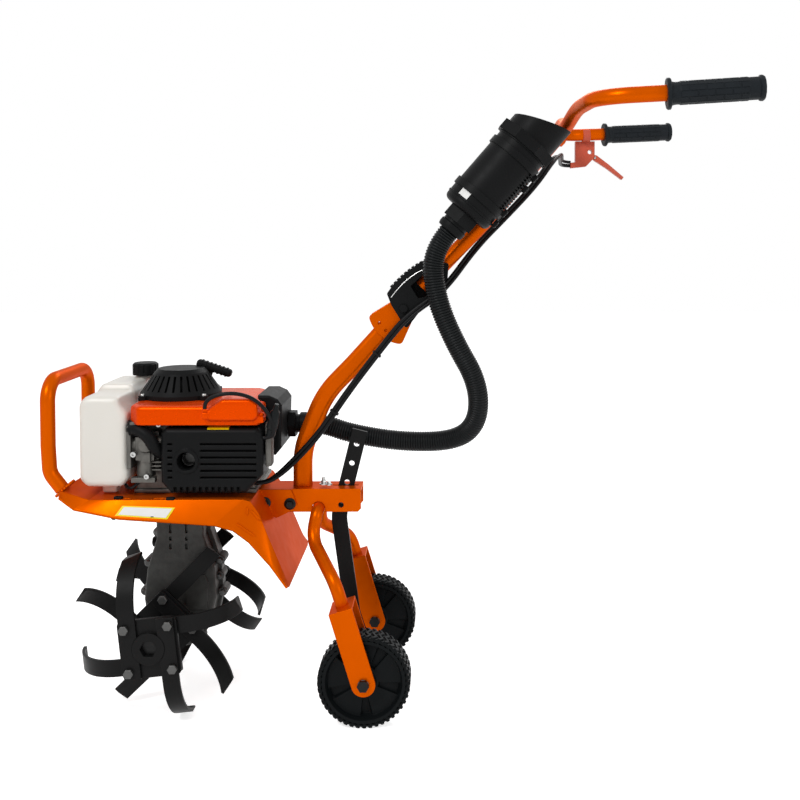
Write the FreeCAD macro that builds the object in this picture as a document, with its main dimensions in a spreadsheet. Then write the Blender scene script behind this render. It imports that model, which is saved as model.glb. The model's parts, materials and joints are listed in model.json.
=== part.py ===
"""Mini tiller: a two-stroke engine on a worm gearbox, with four sets of tines in front
and two small transport wheels behind.

Millimetres. +X points back towards the handlebar, +Y to the machine's right and +Z up.
The origin lies on the floor, below the middle of the machine's length.
"""
import FreeCAD, Part
import math
import os
import Sketcher

Vector = FreeCAD.Vector
Rotation = FreeCAD.Rotation
Placement = FreeCAD.Placement

ACROSS = Vector(0, 1, 0)
UP = Vector(0, 0, 1)
ALONG_Y = Rotation(Vector(1, 0, 0), -90)

# name, value in mm (or degrees where the name says angle), meaning
SIZES = [
    ("fit_gap", 0.3, "clearance between pieces that seat on each other"),
    ("running_gap", 0.08, "clearance between a turning pin and its bore, on the radius"),
    ("sheet", 3, "thickness of the deck's pressed sheet"),
    # transport wheels and their frame
    ("wheel_x", -24, "wheel axle"),
    ("wheel_radius", 70, "wheel over its tread"),
    ("wheel_width", 36, "wheel across the tread"),
    ("wheel_track", 242, "between the two wheels' middles"),
    ("wheel_bore", 10.2, "bore of the wheel hub"),
    ("wheel_band", 13, "depth of the wheel's tread band"),
    ("wheel_disc", 18, "thickness of the wheel's disc"),
    ("wheel_hub", 19, "radius of the wheel's hub"),
    ("wheel_recess", 5, "depth of the hollows between the wheel's sectors"),
    ("wheel_sectors", 5, "number of raised sectors on each face of a wheel"),
    ("axle_bolt", 10, "diameter of the axle bolt"),
    ("fork_gap", 46, "clear width inside a wheel fork"),
    ("fork_plate", 3, "thickness of a fork's cheeks"),
    ("fork_width", 36, "width of a fork's cheek"),
    ("fork_length", 116, "axle to the top of the fork"),
    ("fork_angle", 17, "lean of the forks, forwards, in degrees"),
    ("leg_tube", 20, "diameter of the wheel frame's tube"),
    ("leg_pivot_x", -105, "wheel frame pivot"),
    ("leg_pivot_z", 302, "wheel frame pivot"),
    # tine rotor
    ("rotor_x", -341, "tine shaft"),
    ("rotor_z", 127, "tine shaft"),
    ("tine_reach", 126.5, "outer tines, tip from the shaft's middle"),
    ("inner_reach", 131, "inner tines that curl outwards, tip from the shaft's middle"),
    ("straight_reach", 136, "inner tines that stay nearly flat, tip from the shaft's middle"),
    ("tine_slant", 12, "slant of a tine's tip, in degrees"),
    ("tine_width", 25, "width of a tine strap"),
    ("tine_thick", 4.5, "thickness of a tine strap"),
    ("tine_offset", 28, "strap's middle line beside the shaft's middle"),
    ("hub_side", 88, "side of a square hub plate"),
    ("hub_plate", 6, "thickness of a hub plate"),
    ("hub_bolt_pitch", 65, "side of a hub plate's bolt square"),
    ("hub_bolt_hole", 10.5, "bolt hole in a hub plate"),
    ("outer_plate_y", 144, "outer hub plates from the middle"),
    ("inner_plate_y", 67, "inner hub plates from the middle"),
    ("outer_bend", 67, "sideways bend of the outer tines"),
    ("inner_bend", 50, "sideways bend of the inner tines that curl outwards"),
    ("straight_bend", 12, "sideways bend of the inner tines that stay nearly flat"),
    ("outer_angle", 6, "turn of the left outer tines, in degrees"),
    ("far_angle", 64, "turn of the right outer tines, in degrees"),
    ("inner_angle", 45, "turn of the inner tines, in degrees"),
    ("hub_boss", 24, "radius of the boss on an outer hub plate"),
    ("hub_boss_length", 5, "height of that boss"),
    ("hub_tube", 30, "diameter of the hub's tube"),
    ("shaft", 22, "hexagonal tine shaft across its flats"),
    ("shaft_recess", 8, "tine shaft's ends inside the hubs' bosses"),
    # gearbox
    ("column_x", -324.5, "gearbox column"),
    ("column_width", 75, "gearbox column along X"),
    ("gearbox_depth", 70, "gearbox along Y"),
    ("gearbox_flange", 14, "gearbox flange along Y"),
    ("gearbox_lug", 7.5, "radius of the lugs on the gearbox flange"),
    ("bearing_boss", 34, "radius of the bearing bosses beside the gearbox"),
    ("bearing_depth", 86, "over the two bearing bosses"),
    # deck
    ("deck_top", 336, "top of the deck"),
    ("deck_half", 100, "half width of the deck's flat"),
    ("skirt_half", 113, "half width at the skirt's edge"),
    ("deck_front", -488, "front edge of the deck"),
    ("deck_rear", -196, "where the deck bends down"),
    ("flap_x", -140, "lower edge of the rear flap"),
    ("flap_z", 202, "lower edge of the rear flap"),
    # front guard
    ("guard_tube", 22, "diameter of the front guard's tube"),
    ("guard_x", -511, "front guard's legs"),
    ("guard_half", 85, "front guard's legs from the middle"),
    ("guard_top", 515, "middle line of the guard's top"),
    # engine
    ("crank_x", -329, "crankshaft"),
    ("recoil_z", 480, "foot of the recoil starter"),
    ("recoil_radius", 64, "foot of the recoil starter"),
    ("recoil_top_radius", 41, "top of the recoil starter"),
    ("recoil_height", 45, "height of the recoil starter"),
    ("recoil_wall", 3, "wall of the recoil starter"),
    ("recoil_slot", 3.4, "width of a slot in the recoil starter"),
    ("recoil_slots", 30, "number of slots round the recoil starter"),
    ("recoil_ear", 68, "mounting ears from the crankshaft"),
    ("shroud_foot", 450, "lower edge of the engine shroud"),
    ("cover_front", -102, "front face of the exhaust cover"),
    ("cover_back", -58, "back of the exhaust cover, on the engine"),
    ("cover_left", -335, "left end of the exhaust cover"),
    ("cover_right", -180, "right end of the exhaust cover"),
    ("cover_foot", 346, "lower edge of the exhaust cover"),
    ("cover_top", 446, "top of the exhaust cover"),
    ("louvre_pitch", 10.2, "between two louvres of the exhaust cover"),
    ("louvre_gap", 3.2, "height of the slot below a louvre"),
    ("louvre_count", 6, "number of louvres"),
    ("outlet_x", -295.5, "exhaust outlet"),
    ("outlet_z", 395.6, "exhaust outlet"),
    ("outlet_radius", 14, "bore of the exhaust outlet"),
    ("cap_x", -405, "fuel cap"),
    ("cap_y", 60, "fuel cap"),
    ("cap_radius", 21, "fuel cap"),
    ("fitting_y", 33, "hose fitting on the intake box"),
    ("fitting_z", 428, "hose fitting on the intake box"),
    ("intake_face", -160, "rear face of the intake box"),
    ("fitting_length", 19, "length of the hose fitting"),
    # rear bracket, column and handlebar
    ("bracket_half", 25, "half width of the rear bracket"),
    ("bracket_wall", 4, "wall of the rear bracket"),
    ("bracket_front", -287, "front end of the rear bracket"),
    ("bracket_rear", -37, "rear end of the rear bracket"),
    ("bracket_height", 37, "height of the rear bracket"),
    ("column_side", 31, "width of the lower column, seen from the side"),
    ("column_thick", 20, "thickness of the lower column across the machine"),
    ("pivot_x", 32, "handlebar pivot"),
    ("pivot_z", 622, "handlebar pivot"),
    ("index_radius", 46, "index holes from the handlebar pivot"),
    ("plate_radius", 58, "outer edge of the pivot plates from the pivot"),
    ("pivot_plate", 4, "thickness of a pivot plate"),
    ("pivot_bolt", 10, "diameter of the pivot bolt"),
    ("knuckle_half", 22, "half width of the knuckle"),
    ("mast_tube", 25, "diameter of the upper column's tube"),
    ("bar_tube", 22, "diameter of the handlebar's tube"),
    ("grip_half", 271, "grips from the middle"),
    ("grip_front", 394, "front end of the grips"),
    ("grip_length", 124, "length of a grip"),
    ("grip_outer", 32, "diameter of a grip"),
    ("grip_flange", 43, "diameter of a grip's flange"),
    ("bar_end_z", 925, "handlebar at the grips' front end"),
    ("bar_middle_x", 290, "middle of the handlebar"),
    ("bar_middle_z", 908, "middle of the handlebar"),
    ("bar_hump", 22, "rise of the handlebar beside its middle"),
    # drag bar
    ("drag_width", 25, "width of the drag bar"),
    ("drag_thick", 6, "thickness of the drag bar"),
    ("drag_pitch", 32, "between two holes of the drag bar"),
    ("drag_hole", 9, "diameter of the drag bar's holes"),
    ("drag_pin_x", -69, "pin through the rear bracket and the drag bar"),
    ("drag_pin_z", 307, "pin through the rear bracket and the drag bar"),
    # air filter and hose
    ("filter_x", 173, "middle of the air filter"),
    ("filter_y", -50, "middle of the air filter"),
    ("filter_z", 824, "middle of the air filter"),
    ("filter_radius", 42.5, "air filter's can"),
    ("filter_length", 135, "air filter's can"),
    ("collar_height", 17, "collar between the air filter's can and cup"),
    ("collar_proud", 5, "collar of the air filter proud of its can"),
    ("cup_low", 15, "low side of the cup's mouth above the collar"),
    ("cup_high", 50, "high side of the cup's mouth above the collar"),
    ("cup_wall", 3, "wall of the cup"),
    ("neck_length", 36, "neck below the air filter's can"),
    ("hose", 33, "outer diameter of the air hose"),
    ("cable", 7, "outer diameter of the throttle cable"),
]


class Size:
    """A number that remembers its formula in the sheet."""

    def __init__(self, value, formula):
        self.value = value
        self.formula = formula

    def joined(self, other, sign, swap=False):
        first, second = (wrap(other), self) if swap else (self, wrap(other))
        value = {"+": first.value + second.value, "-": first.value - second.value,
                 "*": first.value * second.value}.get(sign)
        if sign == "/":
            value = first.value / second.value
        return Size(value, "(%s %s %s)" % (first.formula, sign, second.formula))

    def __add__(self, other):
        return self.joined(other, "+")

    def __radd__(self, other):
        return self.joined(other, "+", swap=True)

    def __sub__(self, other):
        return self.joined(other, "-")

    def __rsub__(self, other):
        return self.joined(other, "-", swap=True)

    def __mul__(self, other):
        return self.joined(other, "*")

    def __rmul__(self, other):
        return self.joined(other, "*", swap=True)

    def __truediv__(self, other):
        return self.joined(other, "/")

    def __neg__(self):
        return self.joined(0, "-", swap=True)

    def __float__(self):
        return float(self.value)


def wrap(number):
    """A Size for a plain number."""
    return number if isinstance(number, Size) else Size(float(number), "%.6f" % number)


class Named:
    """The sheet's sizes, read by name."""


def make_sheet(doc):
    sheet = doc.addObject("Spreadsheet::Sheet", "Sizes")
    named = Named()
    for row, (name, value, meaning) in enumerate(SIZES, 1):
        sheet.set("A%d" % row, name)
        sheet.set("B%d" % row, str(value))
        sheet.set("C%d" % row, meaning)
        sheet.setAlias("B%d" % row, name)
        setattr(named, name, Size(float(value), "Sizes." + name))
    return named


doc = FreeCAD.newDocument("MiniTiller")
s = make_sheet(doc)
doc.recompute()
PARTS = []


# ---------------------------------------------------------------- helpers

def bind(obj, prop, size):
    """Set a property, and tie it to the sheet where the size comes from there."""
    setattr(obj, prop, float(size))
    if isinstance(size, Size):
        obj.setExpression(prop, size.formula)


def place(obj, x=0, y=0, z=0, rotation=None):
    """Put an object in its place; the coordinates may be sizes of the sheet."""
    obj.Placement = Placement(Vector(float(x), float(y), float(z)), rotation or Rotation())
    for axis, size in zip("xyz", (x, y, z)):
        if isinstance(size, Size):
            obj.setExpression("Placement.Base." + axis, size.formula)


def keep(obj, label):
    """Make an object one of the machine's pieces."""
    obj.Label = label
    PARTS.append(obj)
    return obj


def origin_plane(body, role):
    for feature in body.Origin.OriginFeatures:
        if feature.Role == role:
            return feature
    raise ValueError(role)


def sketch(body, role, offset=None):
    """A sketch on one of the body's own origin planes."""
    made = body.newObject("Sketcher::SketchObject", "Sketch")
    made.AttachmentSupport = [(origin_plane(body, role), "")]
    made.MapMode = "FlatFace"
    if offset is not None:
        made.AttachmentOffset = Placement(Vector(0, 0, float(offset)), Rotation())
        if isinstance(offset, Size):
            made.setExpression("AttachmentOffset.Base.z", offset.formula)
    return made


def pin_coordinate(made, kind, line, size):
    """Hold a line's first point at a coordinate of the sheet."""
    if not isinstance(size, Size) and abs(size) < 1e-9:
        axis = -2 if kind == "DistanceX" else -1
        made.addConstraint(Sketcher.Constraint("PointOnObject", line, 1, axis))
        return
    index = made.addConstraint(Sketcher.Constraint(kind, -1, 1, line, 1, float(size)))
    if isinstance(size, Size):
        made.setExpression("Constraints[%d]" % index, size.formula)


def draw_outline(made, points):
    """A closed outline of straight lines through points of the sheet."""
    count = len(points)
    spots = [Vector(float(x), float(y), 0) for x, y in points]
    first = made.GeometryCount
    for i in range(count):
        made.addGeometry(Part.LineSegment(spots[i], spots[(i + 1) % count]), False)
    for i in range(count):
        following = first + (i + 1) % count
        made.addConstraint(Sketcher.Constraint("Coincident", first + i, 2, following, 1))
    for i, (x, y) in enumerate(points):
        pin_coordinate(made, "DistanceX", first + i, x)
        pin_coordinate(made, "DistanceY", first + i, y)


def draw_circle(made, x, y, radius):
    """A circle whose middle and radius come from the sheet."""
    index = made.addGeometry(Part.Circle(Vector(float(x), float(y), 0), UP, float(radius)), False)
    for kind, size, axis in (("DistanceX", x, -2), ("DistanceY", y, -1)):
        if not isinstance(size, Size) and abs(size) < 1e-9:
            made.addConstraint(Sketcher.Constraint("PointOnObject", index, 3, axis))
            continue
        number = made.addConstraint(Sketcher.Constraint(kind, -1, 1, index, 3, float(size)))
        if isinstance(size, Size):
            made.setExpression("Constraints[%d]" % number, size.formula)
    number = made.addConstraint(Sketcher.Constraint("Radius", index, float(radius)))
    if isinstance(radius, Size):
        made.setExpression("Constraints[%d]" % number, radius.formula)


def body_named(label):
    return keep(doc.addObject("PartDesign::Body", "Body"), label)


def side_shape(body, y0, y1, draw, *sizes, kind="PartDesign::Pad"):
    """A pad or pocket between two places across the machine, drawn from the side."""
    y0, y1 = wrap(y0), wrap(y1)
    made = sketch(body, "XZ_Plane", -y0 if kind.endswith("Pocket") else -y1)
    draw(made, *sizes)
    feature = body.newObject(kind, "Side")
    feature.Profile = made
    bind(feature, "Length", y1 - y0)
    return feature


def side_pocket(body, y0, y1, draw, *sizes):
    return side_shape(body, y0, y1, draw, *sizes, kind="PartDesign::Pocket")


def plan_shape(body, z0, z1, draw, *sizes, kind="PartDesign::Pad"):
    """A pad or pocket between two heights, drawn from above."""
    z0, z1 = wrap(z0), wrap(z1)
    made = sketch(body, "XY_Plane", z0)
    draw(made, *sizes)
    feature = body.newObject(kind, "Plan")
    feature.Profile = made
    bind(feature, "Length", z1 - z0)
    feature.Reversed = kind.endswith("Pocket")
    return feature


def revolved(body, points):
    """A piece turned about the body's own Z axis."""
    made = sketch(body, "XZ_Plane")
    draw_outline(made, points)
    turned = body.newObject("PartDesign::Revolution", "Revolution")
    turned.Profile = made
    turned.ReferenceAxis = (made, ["V_Axis"])
    turned.Angle = 360
    return turned


def turned_copies(body, feature, count, role="Z_Axis"):
    """A feature repeated evenly round one of the body's axes."""
    made = body.newObject("PartDesign::PolarPattern", "Turned")
    made.Originals = [feature]
    made.Axis = (origin_plane(body, role), [""])
    made.Angle = 360
    made.Occurrences = int(float(count))
    body.Tip = made
    return made


def copies_along(body, feature, count, pitch, role, back=False):
    """A feature repeated along one of the body's axes."""
    made = body.newObject("PartDesign::LinearPattern", "Row")
    made.Originals = [feature]
    made.Direction = (origin_plane(body, role), [""])
    made.Occurrences = int(float(count))
    bind(made, "Length", pitch * (int(float(count)) - 1))
    made.Reversed = back
    body.Tip = made
    return made


def round_edges(body, radius, wanted):
    """Round the edges of the body that a test picks."""
    doc.recompute()
    base = body.Tip
    names = ["Edge%d" % n for n, edge in enumerate(base.Shape.Edges, 1) if wanted(edge)]
    feature = body.newObject("PartDesign::Fillet", "Round")
    feature.Base = (base, names)
    bind(feature, "Radius", radius)
    return feature


def runs_along(edge, axis):
    """Whether a straight edge runs along an axis."""
    if not isinstance(edge.Curve, (Part.Line, Part.LineSegment)):
        return False
    return abs(edge.tangentAt(edge.FirstParameter).dot(axis)) > 0.999


def lies_at(edge, axis, place):
    """Whether an edge lies in the plane at a place along an axis."""
    box = edge.BoundBox
    low = Vector(box.XMin, box.YMin, box.ZMin).dot(axis)
    high = Vector(box.XMax, box.YMax, box.ZMax).dot(axis)
    return abs(low - float(place)) < 0.01 and abs(high - float(place)) < 0.01


def box(x0, x1, y0, y1, z0, z1):
    made = doc.addObject("Part::Box", "Box")
    bind(made, "Length", x1 - x0)
    bind(made, "Width", y1 - y0)
    bind(made, "Height", z1 - z0)
    place(made, x0, y0, z0)
    return made


def cylinder(radius, length, x, y, z, rotation=None):
    made = doc.addObject("Part::Cylinder", "Cylinder")
    bind(made, "Radius", radius)
    bind(made, "Height", length)
    place(made, x, y, z, rotation)
    return made


def fuse(*objects):
    made = doc.addObject("Part::MultiFuse", "Fuse")
    made.Shapes = list(objects)
    made.Refine = True
    return made


def cut(base, *tools):
    made = doc.addObject("Part::Cut", "Cut")
    made.Base = base
    made.Tool = tools[0] if len(tools) == 1 else fuse(*tools)
    made.Refine = True
    return made


def feature(shape):
    made = doc.addObject("Part::Feature", "Shape")
    made.Shape = shape
    return made


def bent_wire(points, radii=None, label=None):
    """Straight runs joined by tangent arcs. Without radii, each arc is as large as its
    two runs allow, which suits a cord; the radii are then printed."""
    spots = [Vector(*[float(c) for c in p]) for p in points]
    edges = []
    start = spots[0]
    made_radii = []
    for i in range(1, len(spots) - 1):
        before = (spots[i - 1] - spots[i])
        after = (spots[i + 1] - spots[i])
        shorter = min(before.Length, after.Length)
        before.normalize()
        after.normalize()
        turn = math.pi - before.getAngle(after)
        if radii is None:
            reach = 0.45 * shorter
            radius = reach / math.tan(turn / 2)
        else:
            radius = float(radii[i - 1] if isinstance(radii, (list, tuple)) else radii)
            reach = radius * math.tan(turn / 2)
        made_radii.append(round(radius, 1))
        first = spots[i] + before * reach
        last = spots[i] + after * reach
        inward = before + after
        inward.normalize()
        middle = spots[i] + inward * (radius / math.cos(turn / 2) - radius)
        edges.append(Part.LineSegment(start, first).toShape())
        edges.append(Part.Arc(first, middle, last).toShape())
        start = last
    edges.append(Part.LineSegment(start, spots[-1]).toShape())
    if label:
        print("%s radii: %s" % (label, made_radii))
    return Part.Wire(edges)


def section_at(wire, radius):
    """A circle square to the wire's first edge."""
    first = wire.Edges[0]
    start = first.valueAt(first.FirstParameter)
    direction = first.tangentAt(first.FirstParameter)
    return Part.Wire([Part.Circle(start, direction, radius).toShape()])


def swept(wire, profile):
    return wire.makePipeShell([profile], True, False)


def rod(points, diameter, radii=None, label=None):
    """A solid round rod, or a cord, along bent points."""
    wire = bent_wire(points, radii, label)
    made = swept(wire, section_at(wire, float(diameter) / 2))
    if label:
        section = math.pi * float(diameter) ** 2 / 4
        print("%s volume over section x length: %.4f" % (label, made.Volume / (section * wire.Length)))
    return made


def tube(points, diameter, wall, radii):
    """A bent tube with open ends."""
    wire = bent_wire(points, radii)
    outer = swept(wire, section_at(wire, float(diameter) / 2))
    inner = swept(wire, section_at(wire, float(diameter) / 2 - float(wall)))
    return outer.cut(inner)


def flat_strap(points, width, thick, radii):
    """A flat bar bent within the XZ plane, its thickness across the machine."""
    wire = bent_wire([(x, 0, z) for x, z in points], radii)
    first = wire.Edges[0]
    start = first.valueAt(first.FirstParameter)
    across = ACROSS.cross(first.tangentAt(first.FirstParameter)) * (float(width) / 2)
    half = ACROSS * (float(thick) / 2)
    corners = [start - across - half, start + across - half, start + across + half, start - across + half]
    return swept(wire, Part.makePolygon(corners + [corners[0]]))


# ---------------------------------------------------------------- wheels and their frame

WHEEL_SIDES = {"left": -1, "right": 1}


def draw_sector(made, inner, outer, half_angle):
    """A piece of a ring about the sketch's origin, from arc to arc."""
    inner, outer = float(inner), float(outer)
    low, high = -math.radians(half_angle), math.radians(half_angle)
    corners = [Vector(r * math.cos(a), r * math.sin(a), 0)
               for r, a in ((inner, low), (outer, low), (outer, high), (inner, high))]
    origin = Vector(0, 0, 0)
    made.addGeometry(Part.LineSegment(corners[0], corners[1]), False)
    made.addGeometry(Part.ArcOfCircle(Part.Circle(origin, UP, outer), low, high), False)
    made.addGeometry(Part.LineSegment(corners[2], corners[3]), False)
    made.addGeometry(Part.ArcOfCircle(Part.Circle(origin, UP, inner), low, high), False)
    made.addConstraint([
        Sketcher.Constraint("Coincident", 0, 2, 1, 1), Sketcher.Constraint("Coincident", 1, 2, 2, 1),
        Sketcher.Constraint("Coincident", 2, 2, 3, 2), Sketcher.Constraint("Coincident", 3, 1, 0, 1),
        Sketcher.Constraint("Coincident", 1, 3, -1, 1), Sketcher.Constraint("Coincident", 3, 3, -1, 1),
        Sketcher.Constraint("Radius", 1, outer), Sketcher.Constraint("Radius", 3, inner)])


def make_wheel(side, sign):
    """A moulded wheel: a tread band on a disc with raised sectors, and a long hub."""
    body = body_named("wheel_" + side)
    half, disc = s.wheel_width / 2, s.wheel_disc / 2
    hub_half = s.fork_gap / 2 - 1
    rim = s.wheel_radius - s.wheel_band
    bore = s.wheel_bore / 2
    revolved(body, [
        (bore, -hub_half), (bore + 9, -hub_half), (s.wheel_hub, -disc - 2), (rim - 2, -disc),
        (rim, 3 - half), (rim + 3, -half), (s.wheel_radius - 4, -half),
        (s.wheel_radius, 6 - half), (s.wheel_radius, half - 6), (s.wheel_radius - 4, half),
        (rim + 3, half), (rim, half - 3), (rim - 2, disc), (s.wheel_hub, disc + 2),
        (bore + 9, hub_half), (bore, hub_half)])
    for foot in (-disc - 3, disc - s.wheel_recess):
        hollow = plan_shape(body, foot, foot + s.wheel_recess + 3, draw_sector,
                            s.wheel_hub + 3, rim - 4, 11, kind="PartDesign::Pocket")
        turned_copies(body, hollow, s.wheel_sectors)
    place(body, s.wheel_x, s.wheel_track / 2 * sign, s.wheel_radius, ALONG_Y)


def fork_point(height, sign):
    """A point on a fork's middle line, at a height above the axle."""
    lean = math.radians(float(s.fork_angle))
    return Vector(float(s.wheel_x) - float(height) * math.sin(lean),
                  float(s.wheel_track) / 2 * sign,
                  float(s.wheel_radius) + float(height) * math.cos(lean))


def make_fork(side, sign):
    """An upside-down U of strip, round at the axle."""
    half = s.fork_gap / 2 + s.fork_plate
    round_end = cylinder(s.fork_width / 2, half * 2, 0, -half, 0, ALONG_Y)
    upper = box(-s.fork_width / 2, s.fork_width / 2, -half, half, wrap(0), s.fork_length)
    inside = box(-s.fork_width, s.fork_width, -s.fork_gap / 2, s.fork_gap / 2,
                 -s.fork_width, s.fork_length - s.fork_plate)
    hole = cylinder(s.axle_bolt / 2 + s.fit_gap / 2, half * 2 + 2, 0, -half - 1, 0, ALONG_Y)
    made = keep(cut(fuse(round_end, upper), inside, hole), "wheel_fork_" + side)
    lean = Rotation(ACROSS, -float(s.fork_angle))
    place(made, s.wheel_x, s.wheel_track / 2 * sign, s.wheel_radius, lean)


def hexagon(across_flats, length, spot):
    """A hexagonal prism along +Y from a spot."""
    radius = float(across_flats) / math.sqrt(3)
    corners = [spot + Vector(radius * math.cos(math.radians(60 * n)), 0,
                             radius * math.sin(math.radians(60 * n))) for n in range(7)]
    return Part.Face(Part.makePolygon(corners)).extrude(Vector(0, float(length), 0))


def make_axle_bolts():
    """A bolt through each fork, with a head on one cheek and a nut on the other."""
    bolts = []
    half = float(s.fork_gap) / 2 + float(s.fork_plate)
    across, head_height = float(s.axle_bolt) * 1.6, float(s.axle_bolt) * 0.6
    for sign in WHEEL_SIDES.values():
        spot = fork_point(0, sign)
        shank = Part.makeCylinder(float(s.axle_bolt) / 2, 2 * (half + head_height),
                                  spot - ACROSS * (half + head_height), ACROSS)
        head = hexagon(across, head_height, spot + ACROSS * half)
        nut = hexagon(across, head_height, spot - ACROSS * (half + head_height))
        bolts.append(shank.fuse([head, nut]).removeSplitter())
    keep(feature(Part.makeCompound(bolts)), "axle_bolts")


def make_wheel_frame():
    """One tube from fork to fork, which pivots in the rear bracket."""
    x, z = float(s.leg_pivot_x), float(s.leg_pivot_z)
    right = [(x, 38, z), (x - 8, 46, z - 42),
             fork_point(s.fork_length + 34, 1), fork_point(s.fork_length, 1)]
    left = [Vector(p[0], -p[1], p[2]) for p in right]
    points = list(reversed(left)) + right
    keep(feature(tube(points, s.leg_tube, 2, [36, 40, 16, 16, 40, 36])), "wheel_frame")


# ---------------------------------------------------------------- tine rotor

def along_y(radius, y0, y1, x=0, z=0):
    """A plain cylinder across the machine."""
    return Part.makeCylinder(float(radius), float(y1) - float(y0), Vector(float(x), float(y0), float(z)), ACROSS)


def mirrored(shape, sign):
    return shape.mirror(Vector(0, 0, 0), ACROSS) if sign < 0 else shape


def make_hub(side, sign, outer_angle):
    """A tube with two square plates and a boss, bored for the hexagonal shaft."""
    y_in, y_out = float(s.inner_plate_y), float(s.outer_plate_y)
    thick = float(s.hub_plate)
    outside = y_out + thick / 2 + float(s.hub_boss_length)
    hub = along_y(float(s.hub_tube) / 2, y_in - thick / 2, y_out)
    hub = hub.fuse([hub_plate(y_in, thick, float(s.inner_angle)), hub_plate(y_out, thick, outer_angle),
                    along_y(s.hub_boss, y_out, outside)])
    bore = hexagon(float(s.shaft) + float(s.fit_gap), outside, Vector(0, y_in / 2, 0))
    hub = mirrored(hub.cut(bore).removeSplitter(), sign)
    place(keep(feature(hub), "tine_hub_" + side), s.rotor_x, 0, s.rotor_z)


def hub_plate(y, thick, angle):
    """A square plate with a bolt hole near each corner, turned about the shaft."""
    half = float(s.hub_side) / 2
    plate = Part.makeBox(2 * half, thick, 2 * half, Vector(-half, y - thick / 2, -half))
    corners = [e for e in plate.Edges if abs(e.tangentAt(e.FirstParameter).y) > 0.9]
    plate = plate.makeFillet(8, corners)
    pitch = float(s.hub_bolt_pitch) / 2
    plate = plate.cut([along_y(float(s.hub_bolt_hole) / 2, y - thick, y + thick, x, z)
                       for x in (-pitch, pitch) for z in (-pitch, pitch)])
    plate.rotate(Vector(0, 0, 0), ACROSS, -angle)
    return plate


def tine(face_y, bend, reach, boss):
    """A strap that lies flat on its plate, held by two bolts, and then curls sideways
    to a slanted tip. Beside a boss it has a round notch."""
    thick = float(s.tine_thick)
    reach = float(reach) - thick / 2
    pitch = float(s.hub_bolt_pitch) / 2
    start = -pitch - 11
    curl = float(s.hub_side) / 2 + 8
    radius = ((reach - curl) ** 2 + bend ** 2) / (2 * abs(bend))
    turn = math.asin((reach - curl) / radius)
    side = 1 if bend > 0 else -1
    middle_y = face_y + side * radius

    def on_arc(offset, part):
        r = radius - side * offset
        angle = turn * part
        return Vector(curl + r * math.sin(angle), middle_y - side * r * math.cos(angle), 0)

    low, high = [[Vector(start, face_y + offset, 0), on_arc(offset, 0), on_arc(offset, 0.5), on_arc(offset, 1)]
                 for offset in (-thick / 2, thick / 2)]
    edges = [Part.LineSegment(low[0], low[1]), Part.Arc(*low[1:]), Part.LineSegment(low[3], high[3]),
             Part.Arc(high[3], high[2], high[1]), Part.LineSegment(high[1], high[0]),
             Part.LineSegment(high[0], low[0])]
    width = float(s.tine_width)
    made = Part.Face(Part.Wire([edge.toShape() for edge in edges])).extrude(Vector(0, 0, width))
    near = float(s.tine_offset) - width / 2
    made.translate(Vector(0, 0, near))
    made = made.cut([along_y(float(s.hub_bolt_hole) / 2, face_y - thick, face_y + thick, x, pitch)
                     for x in (-pitch, pitch)])
    tip = reach + thick
    back = tip - thick / 2 - width * math.tan(math.radians(float(s.tine_slant)))
    wedge = Part.makePolygon([Vector(tip - thick / 2, 0, near), Vector(tip + 9, 0, near),
                              Vector(tip + 9, 0, near + width + 1), Vector(back, 0, near + width + 1),
                              Vector(tip - thick / 2, 0, near)])
    made = made.cut(Part.Face(wedge).extrude(ACROSS * 200))
    if boss:
        made = made.cut(along_y(float(s.hub_boss) + float(s.fit_gap), face_y - 2 * thick, face_y + 2 * thick))
    return made


def make_tines(side, sign, name, plate_y, shapes, angle):
    """Four straps on one plate, on its two faces by turns, as a pinwheel. The shapes are
    (bend, reach) for the straps on the inner and on the outer face."""
    straps = []
    step = (float(s.hub_plate) + float(s.tine_thick)) / 2
    for number in range(4):
        outside = number % 2
        bend, reach = shapes[outside]
        face = float(plate_y) + (step if outside else -step)
        made = tine(face, bend, reach, name == "outer" and outside)
        made.rotate(Vector(0, 0, 0), ACROSS, 90 * number - angle)
        straps.append(made)
    made = mirrored(Part.makeCompound(straps), sign)
    place(keep(feature(made), "tines_%s_%s" % (name, side)), s.rotor_x, 0, s.rotor_z)


def make_shaft():
    """The hexagonal shaft, round where it runs in the gearbox."""
    end = float(s.outer_plate_y) + float(s.hub_plate) / 2 + float(s.hub_boss_length) - float(s.shaft_recess)
    journal = float(s.bearing_depth) / 2
    shaft = along_y(journal_radius(), -journal - 2, journal + 2)
    for y in (-end, journal + 2):
        shaft = shaft.fuse(hexagon(s.shaft, end - journal - 2, Vector(0, y, 0)))
    place(keep(feature(shaft.removeSplitter()), "tine_shaft"), s.rotor_x, 0, s.rotor_z)


def journal_radius():
    """The shaft's round part is as thick as the hexagon over its corners."""
    return float(s.shaft) / math.sqrt(3)


def make_rotor():
    curled = (-float(s.outer_bend), s.tine_reach)
    inner = ((-float(s.straight_bend), s.straight_reach), (float(s.inner_bend), s.inner_reach))
    for (side, sign), angle in zip(WHEEL_SIDES.items(), (float(s.outer_angle), float(s.far_angle))):
        make_hub(side, sign, angle)
        make_tines(side, sign, "outer", s.outer_plate_y, (curled, curled), angle)
        make_tines(side, sign, "inner", s.inner_plate_y, inner, float(s.inner_angle))
    make_shaft()


# ---------------------------------------------------------------- gearbox and deck

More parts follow.
